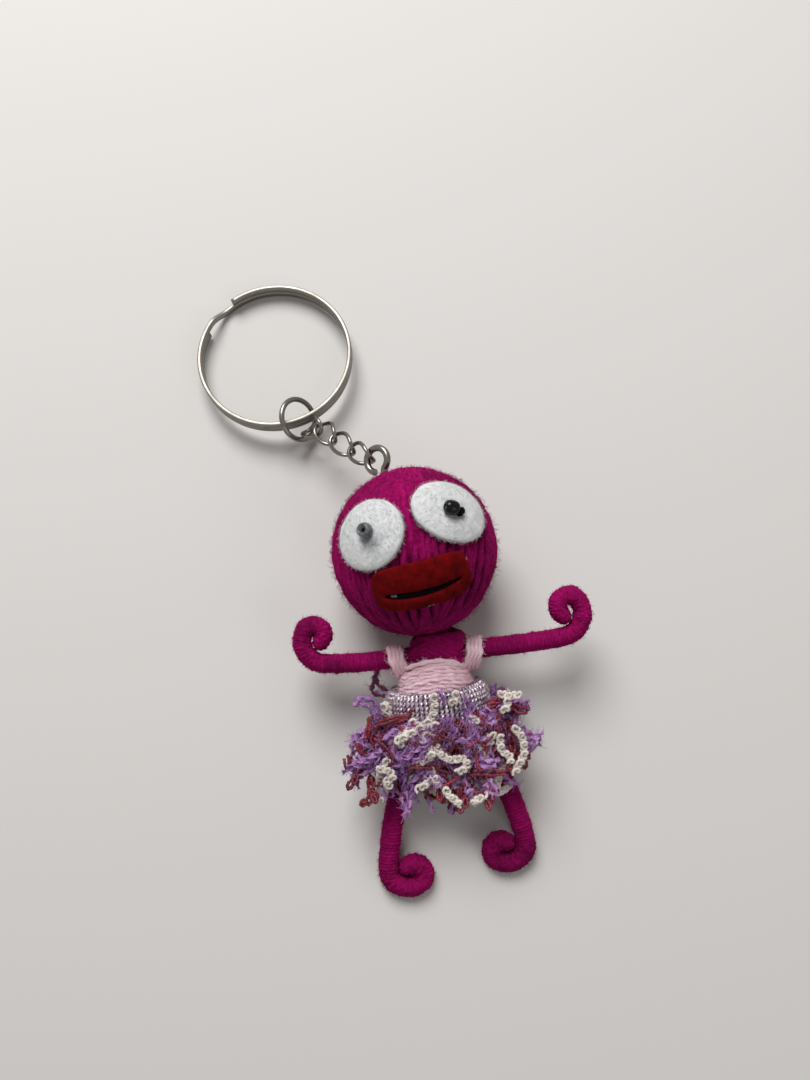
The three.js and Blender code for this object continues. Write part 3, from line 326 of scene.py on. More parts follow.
def wind(name, paths, radius, material, twist=WOOL_TWIST, flatness=0.72, step=0.4, sides=8, looped=False, loose=()):
    """Yarn along the paths, with any nap steps after it."""
    yarn = TWISTED_YARN, {"Yarn Radius": radius * MM, "Flatness": flatness, "Twist Length": twist * MM,
                          "Step": step * MM, "Sides": sides, "Yarn": material}
    return grow(name, strands(name, paths, looped), [yarn, *loose])


def loft(name, rings, material, looped=False, ends=True):
    """A closed skin through rings of points. Its ends close to their middles, or the last ring meets the first."""
    count = len(rings[0])
    points = [point for ring in rings for point in ring]
    faces = []
    for row in range(len(rings) if looped else len(rings) - 1):
        a, b = row * count, (row + 1) % len(rings) * count
        faces += [(a + k, a + (k + 1) % count, b + (k + 1) % count, b + k) for k in range(count)]
    if ends and not looped:
        for row, flip in ((0, True), (len(rings) - 1, False)):
            middle = sum(rings[row], Vector()) / count
            points.append(middle)
            fan = [(row * count + k, row * count + (k + 1) % count, len(points) - 1) for k in range(count)]
            faces += [face[::-1] if flip else face for face in fan]
    mesh = bpy.data.meshes.new(name)
    mesh.from_pydata([point * MM for point in points], [], faces)
    mesh.shade_smooth()
    mesh.materials.append(material)
    return mesh


def fit(piece, body, slot, *nodes):
    """The piece rides on its body and stands for these nodes. The slot is not used."""
    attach(piece, body)
    if nodes:
        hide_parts(*nodes)
    return piece


magenta_wool = wool("magenta_wool", "#a40661", "#600339")


def around(steps, turns=1):
    """Even angles round a circle, or round it several times."""
    return [2 * pi * k / steps for k in range(int(steps * turns))]


def head_turns():
    """The one strand of the head, as points on a ball that is pressed flat on the floor."""
    path = []
    lift = HEAD_RADIUS - HEAD_YARN_RADIUS * 0.9
    for step in range(HEAD_TURNS * HEAD_TURN_STEPS + 1):
        turned = step / HEAD_TURN_STEPS
        angle = turned * 2 * pi
        lean = radians(10 + 5 * sin(turned * 1.7))
        yaw = radians(HEAD_SEAM_DEG) + pi * 1.04 * turned / HEAD_TURNS + 0.03 * sin(turned * 5.1)
        spot = Vector((-sin(lean) * cos(angle), cos(lean) * cos(angle), sin(angle)))
        spot = Matrix.Rotation(yaw, 3, "Y") @ spot
        reach = lift + 0.3 * noise.noise(spot * 2.3 + Vector((turned * 0.37, 0, 0)))
        spot *= reach
        spot = head_matrix @ Vector((spot.x, spot.y * HEAD_POLE_RADIUS / HEAD_RADIUS, spot.z))
        spot.z = max(spot.z, HEAD_YARN_RADIUS * 0.8)
        path.append(spot)
    return path


def head_ball(radius, foot_deg=180, rim_drop=0.0, rows=28, columns=56):
    """Rings of a ball from the head's crown down, which stay over the floor. The radius drops towards the rim."""
    rings = []
    for row in range(1, rows):
        down = radians(foot_deg) * row / rows
        reach = radius - rim_drop * (row / rows) ** 3
        ring = []
        for yaw in around(columns):
            spot = Vector((sin(down) * sin(yaw), cos(down), sin(down) * cos(yaw))) * reach
            spot = head_matrix @ spot
            ring.append(Vector((spot.x, spot.y, max(spot.z, 0.1))))
        rings.append(ring[::-1])
    return rings


head_wound = wind("head_wound_yarn", [head_turns()], HEAD_YARN_RADIUS, magenta_wool, twist=5.5, flatness=0.82,
                  step=0.45)
fit(head_wound, "head", "magenta_yarn", "head_winding")
# The ball under the winding wears a darker copy of the magenta wool: painted shade in the gaps between the strands.
shaded_wool = wool("magenta_wool_in_the_shade", "#480228", "#220114")
head_felted = grow("head_felted_yarn", loft("head_under", head_ball(11.3), shaded_wool),
                   [fibres(magenta_wool, 1.15, 8, rise=0.75, radius=0.017, seed=3)])
fit(head_felted, "head", "magenta_yarn")
crown_felted = grow("crown_felted_yarn", loft("crown", head_ball(11.95, 98, 0.7), magenta_wool),
                    [fibres(magenta_wool, 0.9, 12, rise=0.3, radius=0.019, seed=4)])
fit(crown_felted, "head", "magenta_yarn")


# Eyes: two ovals of white wool felt about a millimetre thick, cut with scissors, bent over the head and
# glued. Their cut edge is soft, and a grey patch below and right of each bead is a painted shadow of the bead.
FELT_RISE = 1.05
EYES = [
    ("left", (-29.8, 17, 12), 4.95, 4.7, (-27.0, 10.5)),
    ("right", (28.8, 17.6, -30), 5.3, 4.4, (29.0, 16.0)),
]
FELT_PROFILE = [(0.3, 1.06), (0.6, 1.05), (0.85, 1.0), (0.94, 0.96), (0.985, 0.8), (1.0, 0.5), (0.985, 0.1),
                (0.9, -0.1), (0.4, -0.1)]


def head_spot(yaw, lat, spin=0.0):
    """A direction out of the head with the two directions along its surface there."""
    yaw, lat, spin = radians(yaw), radians(lat), radians(spin)
    out = Vector((cos(lat) * sin(yaw), sin(lat), cos(lat) * cos(yaw)))
    east = Vector((cos(yaw), 0, -sin(yaw)))
    north = out.cross(east)
    right = east * cos(spin) + north * sin(spin)
    return out, right, out.cross(right)


def on_head(spot, a, b, rise):
    """The place a to the right of a spot and b above it, bent round the head, at a rise over the yarn."""
    out, right, up = spot
    reach = hypot(a, b)
    way = (right * a + up * b).normalized()
    angle = reach / HEAD_RADIUS
    direction = out * cos(angle) + way * sin(angle)
    flat = hypot(direction.x, direction.z) / HEAD_RADIUS
    return head_matrix @ (direction * (1 / hypot(flat, direction.y / HEAD_POLE_RADIUS) + rise))


def felt(name, pale, deep, smudges):
    """Pressed wool felt: matt, with a cloudy mottle and fibres in all directions. smudges are soft patches blended
    to a grey, each with its place, its size and its grey: painted bead shadows on the eyes, painted glints of dried
    glue on the lips and mouth."""
    material, tree, shader = surface(name, {
        "Roughness": 1.0, "Specular IOR Level": 0.08, "Sheen Weight": 0.12, "Sheen Roughness": 0.5,
        "Sheen Tint": linear(pale),
    })
    cloud = mottle(tree, 1.6, 6, 0.65)
    share = node(tree, "ShaderNodeMapRange", {0: cloud, 1: 0.3, 2: 0.7})
    colour = mixed(tree, share, linear(deep), linear(pale))
    at = node(tree, "ShaderNodeTexCoord")
    # Each smudge blends the felt towards its grey: painted bead shadows on the eyes, painted glints of dried glue
    # on the lips and mouth.
    for place_mm, size_mm, grey in smudges:
        size = size_mm * MM
        away = node(tree, "ShaderNodeVectorMath", {0: at.outputs["Object"], 1: place_mm * MM}, operation="DISTANCE")
        ragged = reckon(tree, "MULTIPLY_ADD", cloud, size * 0.8, away.outputs["Value"])
        smudge_share = node(tree, "ShaderNodeMapRange", {0: ragged, 1: size * 1.6, 2: size * 0.6})
        colour = mixed(tree, smudge_share, colour, linear(grey))
    feed(tree, shader, {"Base Color": colour, "Normal": relief(tree, mottle(tree, 0.35, 4), 0.35, 0.06)})
    return material


for side, (yaw, lat, spin), half_wide, half_high, (grey_yaw, grey_lat) in EYES:
    spot = head_spot(yaw, lat, spin)
    # Painted shadow: the felt turns grey in a patch below and right of the bead.
    bead_shadow_at = on_head(head_spot(grey_yaw, grey_lat), 0, 0, FELT_RISE)
    white_felt = felt(f"white_wool_felt_{side}", "#dedede", "#c9cbcb", [(bead_shadow_at, 1.7, "#96999b")])
    rings = []
    for share, rise in FELT_PROFILE:
        ring = []
        for angle in around(96):
            ragged = 1 + 0.018 * noise.noise(Vector((3 * cos(angle), 3 * sin(angle), half_wide)))
            a, b = half_wide * share * cos(angle) * ragged, half_high * share * sin(angle) * ragged
            lump = 0.06 * noise.noise(Vector((a, b, rise)) * 0.9)
            ring.append(on_head(spot, a, b, rise * FELT_RISE + lump))
        rings.append(ring[::-1])
    piece = grow(f"eye_cut_felt_{side}", loft("eye", rings, white_felt),
                 [fibres(white_felt, 0.5, 26, rise=0.3, radius=0.012, seed=7)])
    fit(piece, "head", "white_felt", f"eye_felt_{side}")


# Pupils: two glass seed beads glued to the felt. The left one is clear grey and shows its hole, the right
# one is black and lies on its side, with a small black knot of its thread beside it.
LEFT_BEAD = (-28.6, 17.8)
RIGHT_BEAD = (25.3, 16.4)
KNOT = (30.6, 13.6)
BEAD_RADIUS = 1.05
BEAD_HOLE_RADIUS = 0.34
BEAD_HALF_HEIGHT = 0.75


def bead(name, spot, rise, axis, half_height, radius, hole, material):
    """A barrel with a hole through it, turned about an axis."""
    across = axis.orthogonal().normalized()
    beside = axis.cross(across)
    middle = head_matrix @ (spot * (HEAD_RADIUS + rise))
    turn = head_matrix.to_3x3()
    rings = []
    for angle in around(28):
        reach = (radius + hole) / 2 + (radius - hole) / 2 * cos(angle)
        level = half_height * sin(angle)
        ring = [middle + turn @ (axis * level + (across * cos(t) + beside * sin(t)) * reach)
                for t in around(40)]
        rings.append(ring)
    return place(name, loft(name, rings, material, looped=True))


grey_glass, grey_tree, grey_shader = surface("pressed_grey_glass", {
    "Base Color": linear("#878c90"), "Roughness": 0.08, "IOR": 1.5, "Transmission Weight": 0.7,
})
black_glass, black_tree, black_shader = surface("black_glass", {
    "Base Color": linear("#020203"), "Roughness": 0.16, "IOR": 1.5, "Specular IOR Level": 0.25,
})
for tree, shader in ((grey_tree, grey_shader), (black_tree, black_shader)):
    feed(tree, shader, {"Normal": relief(tree, mottle(tree, 0.8), 0.3, 0.05)})
out = head_spot(*LEFT_BEAD)[0]
left_bead = bead("pupil_glass_left", out, FELT_RISE + BEAD_HALF_HEIGHT - 0.1, out, BEAD_HALF_HEIGHT, BEAD_RADIUS,
                 BEAD_HOLE_RADIUS, grey_glass)
fit(left_bead, "head", "glass_bead", "pupil_bead_left")
black_thread = wool("black_thread", "#17161a", "#050506", speck_mm=0.2, sheen=0.1)
# A black thread stub fills the left bead's hole. It is also painted shade that makes the hole show dark.
stub_path = [head_matrix @ (out * (HEAD_RADIUS + FELT_RISE + BEAD_HALF_HEIGHT * 1.5 * k / 6)) for k in range(7)]
stub = wind("pupil_thread_and_hole_shade_left", [stub_path], BEAD_HOLE_RADIUS * 0.95, black_thread, twist=0.6, step=0.1)
fit(stub, "head", "black_felt")
out, right, up = head_spot(*RIGHT_BEAD)
right_bead = bead("pupil_glass_right", out, FELT_RISE + 0.9, (right - up * 0.45).normalized(), 0.95, 1.0, 0.15,
                  black_glass)
fit(right_bead, "head", "glass_bead", "pupil_bead_right")
knot_middle = head_spot(*KNOT)[0]
knot_path = []
for t in around(60):
    knot_place = knot_middle * (HEAD_RADIUS + FELT_RISE + 0.5) + Vector((
        0.36 * cos(2 * t) * (1 + 0.4 * cos(3 * t)), 0.36 * sin(2 * t) * (1 + 0.4 * cos(3 * t)),
        0.2 * sin(3 * t)))
    knot_path.append(head_matrix @ knot_place)
knot = wind("pupil_thread_knot", [knot_path], 0.26, black_thread, twist=0.6, step=0.08, looped=True)
fit(knot, "head", "black_felt", "pupil_knot_right")


# Lips: one piece of red wool felt with its mouth cut as a slit, glued below the eyes. The upper lip is the
# thicker one, the slit sags a little and shows black, and clear glue has dried at its left end, under the lower
# lip and at its right end; its glints are painted as pale grey spots on the felt.
LIP_SPOT = (-4, -22.8, -1.5)
LIP_HALF_WIDTH = 6.5
LIP_HALF_HEIGHT = 3.1
LIP_SQUARENESS = 4.6
SLIT_HALF_WIDTH = 4.95
SLIT_HALF_HEIGHT = 0.42
SLIT_DROP = 0.75
SLIT_SAG = 0.3
LIP_SECTION = [(0.0, -0.1), (0.0, 0.6), (0.03, 0.86), (0.1, 0.98), (0.4, 1.04), (0.7, 1.02), (0.92, 0.97),
               (0.98, 0.85), (1.0, 0.5), (0.985, -0.1)]


def squarish(angle, half_wide, half_high, power):
    c, s = cos(angle), sin(angle)
    reach = (abs(c / half_wide) ** power + abs(s / half_high) ** power) ** (-1 / power)
    return reach * c, reach * s


def slit_line(a):
    """How far the slit lies under the middle of the lips."""
    return -SLIT_DROP - SLIT_SAG * (1 - (a / SLIT_HALF_WIDTH) ** 2)


def lip_angle(t):
    """Turns even angles into places that are closer at the two ends of a long outline."""
    return atan2(sin(t) * LIP_HALF_HEIGHT, cos(t) * LIP_HALF_WIDTH)


lip_spot = head_spot(*LIP_SPOT)
# Dried clear glue on the lips: pale grey spots painted on the matt felt, as painted glints of the glue.
glue_glints = [(on_head(lip_spot, a, b, FELT_RISE), size, "#b3a6a3")
         for a, b, size in ((0.2, -3.05, 0.25), (0.7, -3.0, 0.2), (6.4, 1.4, 0.25))]
red_felt = felt("red_wool_felt", "#74080b", "#430406", glue_glints)
rings = []
for share, rise in LIP_SECTION:
    ring = []
    for t in around(128):
        outer = squarish(lip_angle(t), LIP_HALF_WIDTH, LIP_HALF_HEIGHT, LIP_SQUARENESS)
        inner_a = SLIT_HALF_WIDTH * cos(t)
        blunt = copysign(abs(sin(t)) ** 0.6, sin(t))
        inner_b = slit_line(inner_a) + SLIT_HALF_HEIGHT * blunt * (1 - 0.3 * cos(t))
        a = inner_a + (outer[0] - inner_a) * share
        b = inner_b + (outer[1] - inner_b) * share
        lump = 0.07 * noise.noise(Vector((a, b, 5.0)) * 0.8)
        ring.append(on_head(lip_spot, a, b, rise * FELT_RISE + lump))
    rings.append(ring)
lips = grow("lips_cut_felt", loft("lips", rings, red_felt, looped=True),
            [fibres(red_felt, 0.5, 20, rise=0.25, radius=0.016, seed=11)])
fit(lips, "head", "red_felt", "lips_felt")

# Dried clear glue at the slit's left end: grey spots painted on the black felt, as painted glints of the glue.
glue_glints = [(on_head(lip_spot, a, slit_line(a) + 0.1, 0.74), 0.24, "#9a9092") for a in (-4.1, -3.7)]
black_felt = felt("black_wool_felt", "#120a0c", "#050304", glue_glints)
rings = []
for k in range(25):
    a = (SLIT_HALF_WIDTH + 0.3) * (1 - k / 12)
    ring = [on_head(lip_spot, a, slit_line(a) + b, rise)
            for b, rise in ((-0.7, 0.0), (-0.7, 0.6), (0.0, 0.74), (0.7, 0.6), (0.7, 0.0))]
    rings.append(ring[::-1])
fit(place("mouth_black_felt", loft("mouth", rings, black_felt)), "head", "black_felt", "mouth_slit")


# Screw eye, four curb links and jump ring: round steel wire, nickel plated and gone dark. The links are
# twisted ovals that hang in one another, and the jump ring is a plain turn of wire with a cut.
EYE_LEAN_DEG = 21.5
EYE_DIP_DEG = 6
EYE_ROLL_DEG = 33.6
EYE_STAND = 3.1
EYE_LOOP_RADIUS = 1.85
EYE_WIRE_RADIUS = 0.55
EYE_SHANK = 9
EYE_ARC_DEG = 326
EYE_PULL_DEG = 45.2
LINK_WIRE_RADIUS = 0.34
LINK_HALF_LENGTH = 2.25
LINK_HALF_WIDTH = 1.62
LINK_TWIST_DEG = 45
LINK_GAP = 0.2
LINK_HANGS_DEG = [(150.6, 19.6, 18.8), (142.7, 13.1, 16.8), (137.6, 24.9, 13.9), (182.9, 50.2, 5.7)]
JUMP_RADIUS = 3.25
JUMP_WIRE_RADIUS = 0.45
JUMP_TILT_DEG = 43.5
JUMP_LOW_DEG = -1.7
JUMP_HOOK_DEG = -52.7
JUMP_CUT_DEG = 210
JUMP_CUT_HALF_DEG = 1.8
WIRE_PLAY = 0.03
UP = Vector((0, 0, 1))


def metal(name, bright, dull, roughness):
    """Nickel plating: a grey metal whose wear and finger marks change its tone and gloss."""
    material, tree, shader = surface(name, {"Metallic": 1.0})
    wear = mottle(tree, 2.5, 6, 0.7)
    gloss = node(tree, "ShaderNodeMapRange", {0: wear, 1: 0.3, 2: 0.7, 3: roughness * 1.6, 4: roughness})
    feed(tree, shader, {"Base Color": mixed(tree, wear, linear(dull), linear(bright)), "Roughness": gloss,
                        "Normal": relief(tree, mottle(tree, 0.3, 3), 0.15, 0.01)})
    return material


def wire(name, path, radius, material, looped=False):
    """A round wire. The play keeps wires that hang in one another from cutting in where they swing furthest."""
    return wind(name, [path], radius - WIRE_PLAY, material, twist=1e5, flatness=1.0, step=0.18, sides=16,
                looped=looped)


def basis(x, y, z, origin):
    """A frame from its three directions and its origin."""
    turned = Matrix((x, y, z)).transposed().to_4x4()
    turned.translation = origin
    return turned


def heading(turn_deg, dip_deg):
    turn, dip = radians(turn_deg), radians(dip_deg)
    return Vector((cos(turn) * cos(dip), sin(turn) * cos(dip), -sin(dip)))


dark_nickel = metal("dark_nickel_plate", "#a09a93", "#5d5854", 0.2)
eye_way = heading(90 + EYE_LEAN_DEG, EYE_DIP_DEG)
eye_centre = HEAD_CENTRE + eye_way * (HEAD_POLE_RADIUS + EYE_STAND)
eye_front = (UP - eye_way * UP.dot(eye_way)).normalized()
roll = radians(EYE_ROLL_DEG)
eye_pull = eye_way.cross(eye_front) * -cos(roll) - eye_front * sin(roll)
eye_matrix = basis(eye_pull, eye_way, eye_pull.cross(eye_way), eye_centre)
eye_path = [eye_matrix @ Vector((0, -EYE_LOOP_RADIUS - EYE_SHANK * (1 - k / 8), 0)) for k in range(8)]
for k in range(49):
    angle = radians(-90 - EYE_ARC_DEG * (k + 3) / 51)
    eye_path.append(eye_matrix @ (Vector((cos(angle), sin(angle), 0)) * EYE_LOOP_RADIUS))
fit(wire("screw_eye_wire", eye_path, EYE_WIRE_RADIUS, dark_nickel), "head", "dark_nickel", "screw_eye")

angle = radians(EYE_PULL_DEG)
hang_at = eye_centre + (eye_pull * cos(angle) + eye_way * sin(angle)) * EYE_LOOP_RADIUS
hang_wire = eye_way * cos(angle) - eye_pull * sin(angle)
hang_radius = EYE_WIRE_RADIUS
for number, (turn_deg, dip_deg, roll_deg) in zip((4, 3, 2, 1), LINK_HANGS_DEG):
    run = heading(turn_deg, dip_deg)
    start_wire = Matrix.Rotation(radians(roll_deg), 3, run) @ run.cross(hang_wire).normalized()
    wide = Matrix.Rotation(radians(LINK_TWIST_DEG), 3, run) @ start_wire
    start = hang_at - run * (hang_radius + LINK_WIRE_RADIUS + LINK_GAP)
    hang_at = start + run * 2 * LINK_HALF_LENGTH
    hang_wire = Matrix.Rotation(radians(2 * LINK_TWIST_DEG), 3, run) @ start_wire
    hang_radius = LINK_WIRE_RADIUS
    link_matrix = basis(run, wide, run.cross(wide), start + run * LINK_HALF_LENGTH)
    path = []
    for t in around(64):
        twist = radians(LINK_TWIST_DEG) * cos(t)
        out = LINK_HALF_WIDTH * sin(t)
        path.append(link_matrix @ Vector((LINK_HALF_LENGTH * cos(t), out * cos(twist), out * sin(twist))))
    link = wire(f"curb_link_{number}", path, LINK_WIRE_RADIUS, dark_nickel, looped=True)
    fit(link, f"chain_link_{number}", "dark_nickel", f"chain_link_{number}")

jump_low = heading(JUMP_LOW_DEG, JUMP_TILT_DEG)
jump_level = heading(JUMP_LOW_DEG + 90, 0)
hook = radians(JUMP_HOOK_DEG)
jump_centre = hang_at - (jump_low * cos(hook) + jump_level * sin(hook)) * (
    JUMP_RADIUS - JUMP_WIRE_RADIUS - LINK_WIRE_RADIUS - LINK_GAP)
jump_matrix = basis(jump_low, jump_level, jump_low.cross(jump_level), jump_centre)
path = []
for k in range(73):
    angle = radians(JUMP_CUT_DEG + JUMP_CUT_HALF_DEG + (360 - 2 * JUMP_CUT_HALF_DEG) * k / 72)
    path.append(jump_matrix @ Vector((JUMP_RADIUS * cos(angle), JUMP_RADIUS * sin(angle), 0)))
fit(wire("jump_ring_wire", path, JUMP_WIRE_RADIUS, dark_nickel), "jump_ring", "dark_nickel", "jump_ring")


# Split ring: flat steel strip wound twice round and nickel plated bright. Where the ends stop, the strip
# steps from the lower turn to the upper one.
RING_OUTER_RADIUS = 12.5
STRIP_THICKNESS = 0.65
STRIP_HEIGHT = 1.2
STRIP_CORNER = 0.2
RING_TURN_GAP = 0.15
RING_HEADING_DEG = 110.8
RING_OFFSET = -0.4
RING_JOG_DEG = 18
RING_JOG_HEADING_DEG = 157.5
RING_END_GAP_DEG = 3
ring_radius = RING_OUTER_RADIUS - STRIP_THICKNESS / 2
ring_height = 2 * STRIP_HEIGHT + RING_TURN_GAP
ring_out = heading(RING_HEADING_DEG, 0)
ring_side = heading(RING_HEADING_DEG + 90, 0)
tilt = asin((jump_centre.z - ring_height / 2) / (2 * RING_OUTER_RADIUS))
ring_centre = jump_centre + ring_out * (RING_OFFSET + ring_radius * cos(tilt))
ring_centre.z = RING_OUTER_RADIUS * sin(tilt) + ring_height / 2 * cos(tilt)
ring_way = ring_out * cos(tilt) - UP * sin(tilt)
ring_matrix = basis(ring_way, ring_side, ring_way.cross(ring_side), ring_centre)
jog_from = RING_JOG_HEADING_DEG - RING_HEADING_DEG
flat_deg = 360 - RING_JOG_DEG - 2 * RING_END_GAP_DEG
level = (STRIP_HEIGHT + RING_TURN_GAP) / 2
corner = []
for sx, sy, quarter in ((1, 1, 0), (-1, 1, 1), (-1, -1, 2), (1, -1, 3)):
    for k in range(4):
        angle = (quarter + k / 3) * pi / 2
        corner.append((sx * (STRIP_THICKNESS / 2 - STRIP_CORNER) + STRIP_CORNER * cos(angle),
                       sy * (STRIP_HEIGHT / 2 - STRIP_CORNER) + STRIP_CORNER * sin(angle)))
rings = []
steps = 250
for k in range(steps + 1):
    turned = (2 * flat_deg + RING_JOG_DEG) * k / steps
    share = min(1, max(0, (turned - flat_deg) / RING_JOG_DEG))
    height = level * (2 * share * share * (3 - 2 * share) - 1)
    angle = radians(jog_from + turned)
    rings.append([ring_matrix @ Vector(((ring_radius + a) * cos(angle), (ring_radius + a) * sin(angle),
                                        height + b)) for a, b in corner])
bright_nickel = metal("bright_nickel_plate", "#9d9890", "#77736c", 0.34)
strip = place("split_ring_strip", loft("split_ring", rings, bright_nickel))
fit(strip, "split_ring", "bright_nickel", "split_ring")


# Wires: soft iron florist's wire, grey and dull, inside the neck, body, arms and legs. It only shows where
# a winding ends, in the middle of a curl.
iron_wire = metal("annealed_iron_wire", "#8b8884", "#4c4a48", 0.45)
dress(iron_wire, "neck_wire", "spine_wire", "shoulder_wire", "arm_wire_left", "arm_wire_right", "leg_wire_left",
      "leg_wire_right")


# Body: the same magenta yarn wound round and round the wire from the neck to the hips, then crossed
# over the chest from each shoulder to the other side.
NECK_LEAN_DEG = 12.5
NECK_DROP_DEG = 8
NECK_GAP = 0.35
BODY_SLOPE_DEG = 13.5
BODY_TURN_DEG = 7
BODY_BEND = 0.5
TORSO_LENGTH = 12.4
TORSO_HALF_WIDTH = 5
TORSO_HALF_DEPTH = 3.7
BODY_YARN_RADIUS = 0.52
BODY_PITCH = 0.86
SHOULDER_DROP = 2.6
CHEST_WRAPS = 7
CHEST_LEAN_DEG = 36
CHEST_HALF_LENGTH = {-1: 5.0, 1: 4.3}
CHEST_HALF_DEPTH = {-1: 3.15, 1: 3.35}
CHEST_DROP = 1.5
CHEST_SPREAD = 4.6
CHEST_FOOT = 3.6
NECK_WRAPS = 4
NECK_HALF_WIDTH = 2.0
NECK_HALF_DEPTH = 1.9
neck_way = heading(NECK_LEAN_DEG - 90, NECK_DROP_DEG)
neck_pivot = HEAD_CENTRE + neck_way * (HEAD_POLE_RADIUS + NECK_GAP)
body_matrix = (Matrix.Translation(neck_pivot) @ Matrix.Rotation(radians(BODY_SLOPE_DEG), 4, "X")
               @ Matrix.Rotation(radians(BODY_TURN_DEG), 4, "Z"))
TORSO_SHARES = [
    (0.0, 0.2, 0.26), (0.03, 0.24, 0.3), (0.08, 0.46, 0.55), (0.17, 0.72, 0.76), (0.32, 0.78, 0.92), (0.55, 0.9, 1),
    (0.82, 1, 1), (0.94, 0.94, 0.9), (1, 0.76, 0.68),
]


def torso_halves(drop):
    """Half width and half depth of the body at a drop from the neck."""
    share = min(1, max(0, drop / TORSO_LENGTH))
    for (a, wide_a, deep_a), (b, wide_b, deep_b) in zip(TORSO_SHARES, TORSO_SHARES[1:]):
        if share <= b:
            t = (share - a) / (b - a)
            return (TORSO_HALF_WIDTH * (wide_a + (wide_b - wide_a) * t),
                    TORSO_HALF_DEPTH * (deep_a + (deep_b - deep_a) * t))


def bent(drop):
    """How far the body bends to the left, from the arms down."""
    return -BODY_BEND * min(1, max(0, drop / 3))


def round_body(drop, angle, out):
    """A place round the body at a height over its surface. Angle 0 is its right side and 90 degrees its front."""
    wide, deep = torso_halves(drop)
    return body_matrix @ Vector((bent(drop) + (wide + out) * cos(angle), -drop, (deep + out) * sin(angle)))


body_path = []
for k in range(int((TORSO_LENGTH - 0.9) / BODY_PITCH * 30)):
    drop = 0.75 + BODY_PITCH * k / 30
    lump = 0.1 * noise.noise(Vector((k * 0.1, 0, 0)))
    body_path.append(round_body(drop, 2 * pi * k / 30, -BODY_YARN_RADIUS + lump))
chest_paths = []
for k in range(CHEST_WRAPS):
    for side in (-1, 1):
        share = k / (CHEST_WRAPS - 1) - 0.5
        lean = -side * radians(CHEST_LEAN_DEG - 8 * share)
        path = []
        for t in around(48):
            a = CHEST_HALF_LENGTH[side] * cos(t)
            x = max(0, side) * 0.5 + a * cos(lean)
            drop = CHEST_DROP + share * CHEST_SPREAD - a * sin(lean)
            deep = CHEST_HALF_DEPTH[side] - 0.6 * min(1, max(0, drop - 2))
            rim = -0.3 + 0.05 * k + 0.9 * max(0, -1.8 - x) + 0.25 * max(0, x - 2.3)
            path.append(body_matrix @ Vector((x, -min(CHEST_FOOT, max(drop, rim)), deep * sin(t))))
        chest_paths.append(path)
neck_path = [body_matrix @ Vector((NECK_HALF_WIDTH * cos(angle), 0.9 - 0.85 * angle / (2 * pi),
                                   NECK_HALF_DEPTH * sin(angle))) for angle in around(30, NECK_WRAPS)]
neck = wind("neck_wound_yarn", [neck_path], BODY_YARN_RADIUS, magenta_wool,
            loose=[fibres(magenta_wool, 0.6, 2, seed=4)])
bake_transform(neck)
torso = wind("torso_wound_yarn", [body_path], BODY_YARN_RADIUS, magenta_wool,
             loose=[fibres(magenta_wool, 0.8, 1.6, seed=5)])
fit(torso, "torso", "magenta_yarn", "torso_winding")
chest = wind("chest_crossed_yarn", chest_paths, BODY_YARN_RADIUS * 1.1, magenta_wool, twist=5, flatness=0.8,
             looped=True, loose=[fibres(magenta_wool, 0.5, 1.2, radius=0.014, seed=6)])
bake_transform(chest)


# Arms and legs: magenta yarn wound tightly round one wire each, turn against turn, from inside the body
# out to a curl that is the hand or the foot. The winding follows the curves of the wire.
SHOULDER_HALF_WIDTH = 8
HIP_HALF_WIDTH = 3.4
HIP_DROP = 13.4
LIMB_YARN_RADIUS = 0.45
LIMB_PITCH = 0.5
ARMS = [("left", -1, 17.2, 2.25, (4.05, 1.5, 360, 1.3)), ("right", 1, 19.95, 1.9, (4.0, 1.7, 362, 1.4))]
ARM_RADII = (1.48, 1.5)
ARM_BOW = 0.25
LEGS = [("left", -1, 7.25, 34.7), ("right", 1, 6.5, 33.1)]
LEG_RADII = (1.62, 1.6)
FOOT_CURL = (3.35, 1.8, 340, 0.95)
LEG_BOW = 1.3
KNEE_SHARE = 0.55
FOOT_FLAT_DEPTH = 0.5
CAD_LEG_RADIUS = 1.58


def curl(x, y, sizes, from_deg, way, side):
    """Points of a hook that tightens from a wide approach into a round curl. Its tip ends at a reach of its own."""
    wide, tight, turn_deg, tip = sizes
    points = []
    steps = round(turn_deg / 20)
    for k in range(steps + 1):
        turned = turn_deg * k / steps
        left = max(0, 1 - turned / 115)
        late = max(0, (turned - 150) / (turn_deg - 150))
        radius = tight + (wide - tight) * left * left + (tip - tight) * late * late
        angle = radians(from_deg + way * turned)
        points.append(Vector((side * (x + radius * cos(angle)), y + radius * sin(angle), 0)))
    return points


def spline(points, step):
    """Even points on a smooth curve through the given ones."""
    dense = []
    ends = [points[0] * 2 - points[1], *points, points[-1] * 2 - points[-2]]
    for p0, p1, p2, p3 in zip(ends, ends[1:], ends[2:], ends[3:]):
        d0, d1, d2 = ((b - a).length ** 0.5 for a, b in ((p0, p1), (p1, p2), (p2, p3)))
        t1 = ((p1 - p0) / d0 - (p2 - p0) / (d0 + d1) + (p2 - p1) / d1) * d1
        t2 = ((p2 - p1) / d1 - (p3 - p1) / (d1 + d2) + (p3 - p2) / d2) * d1
        for k in range(40):
            t = k / 40
            dense.append(p1 * (2 * t ** 3 - 3 * t * t + 1) + t1 * (t ** 3 - 2 * t * t + t)
                         + p2 * (3 * t * t - 2 * t ** 3) + t2 * (t ** 3 - t * t))
    dense.append(points[-1])
    even, left = [dense[0]], step
    for a, b in zip(dense, dense[1:]):
        gap = (b - a).length
        done = 0.0
        while gap - done >= left:
            done += left
            even.append(a.lerp(b, done / gap))
            left = step
        left -= gap - done
    return even


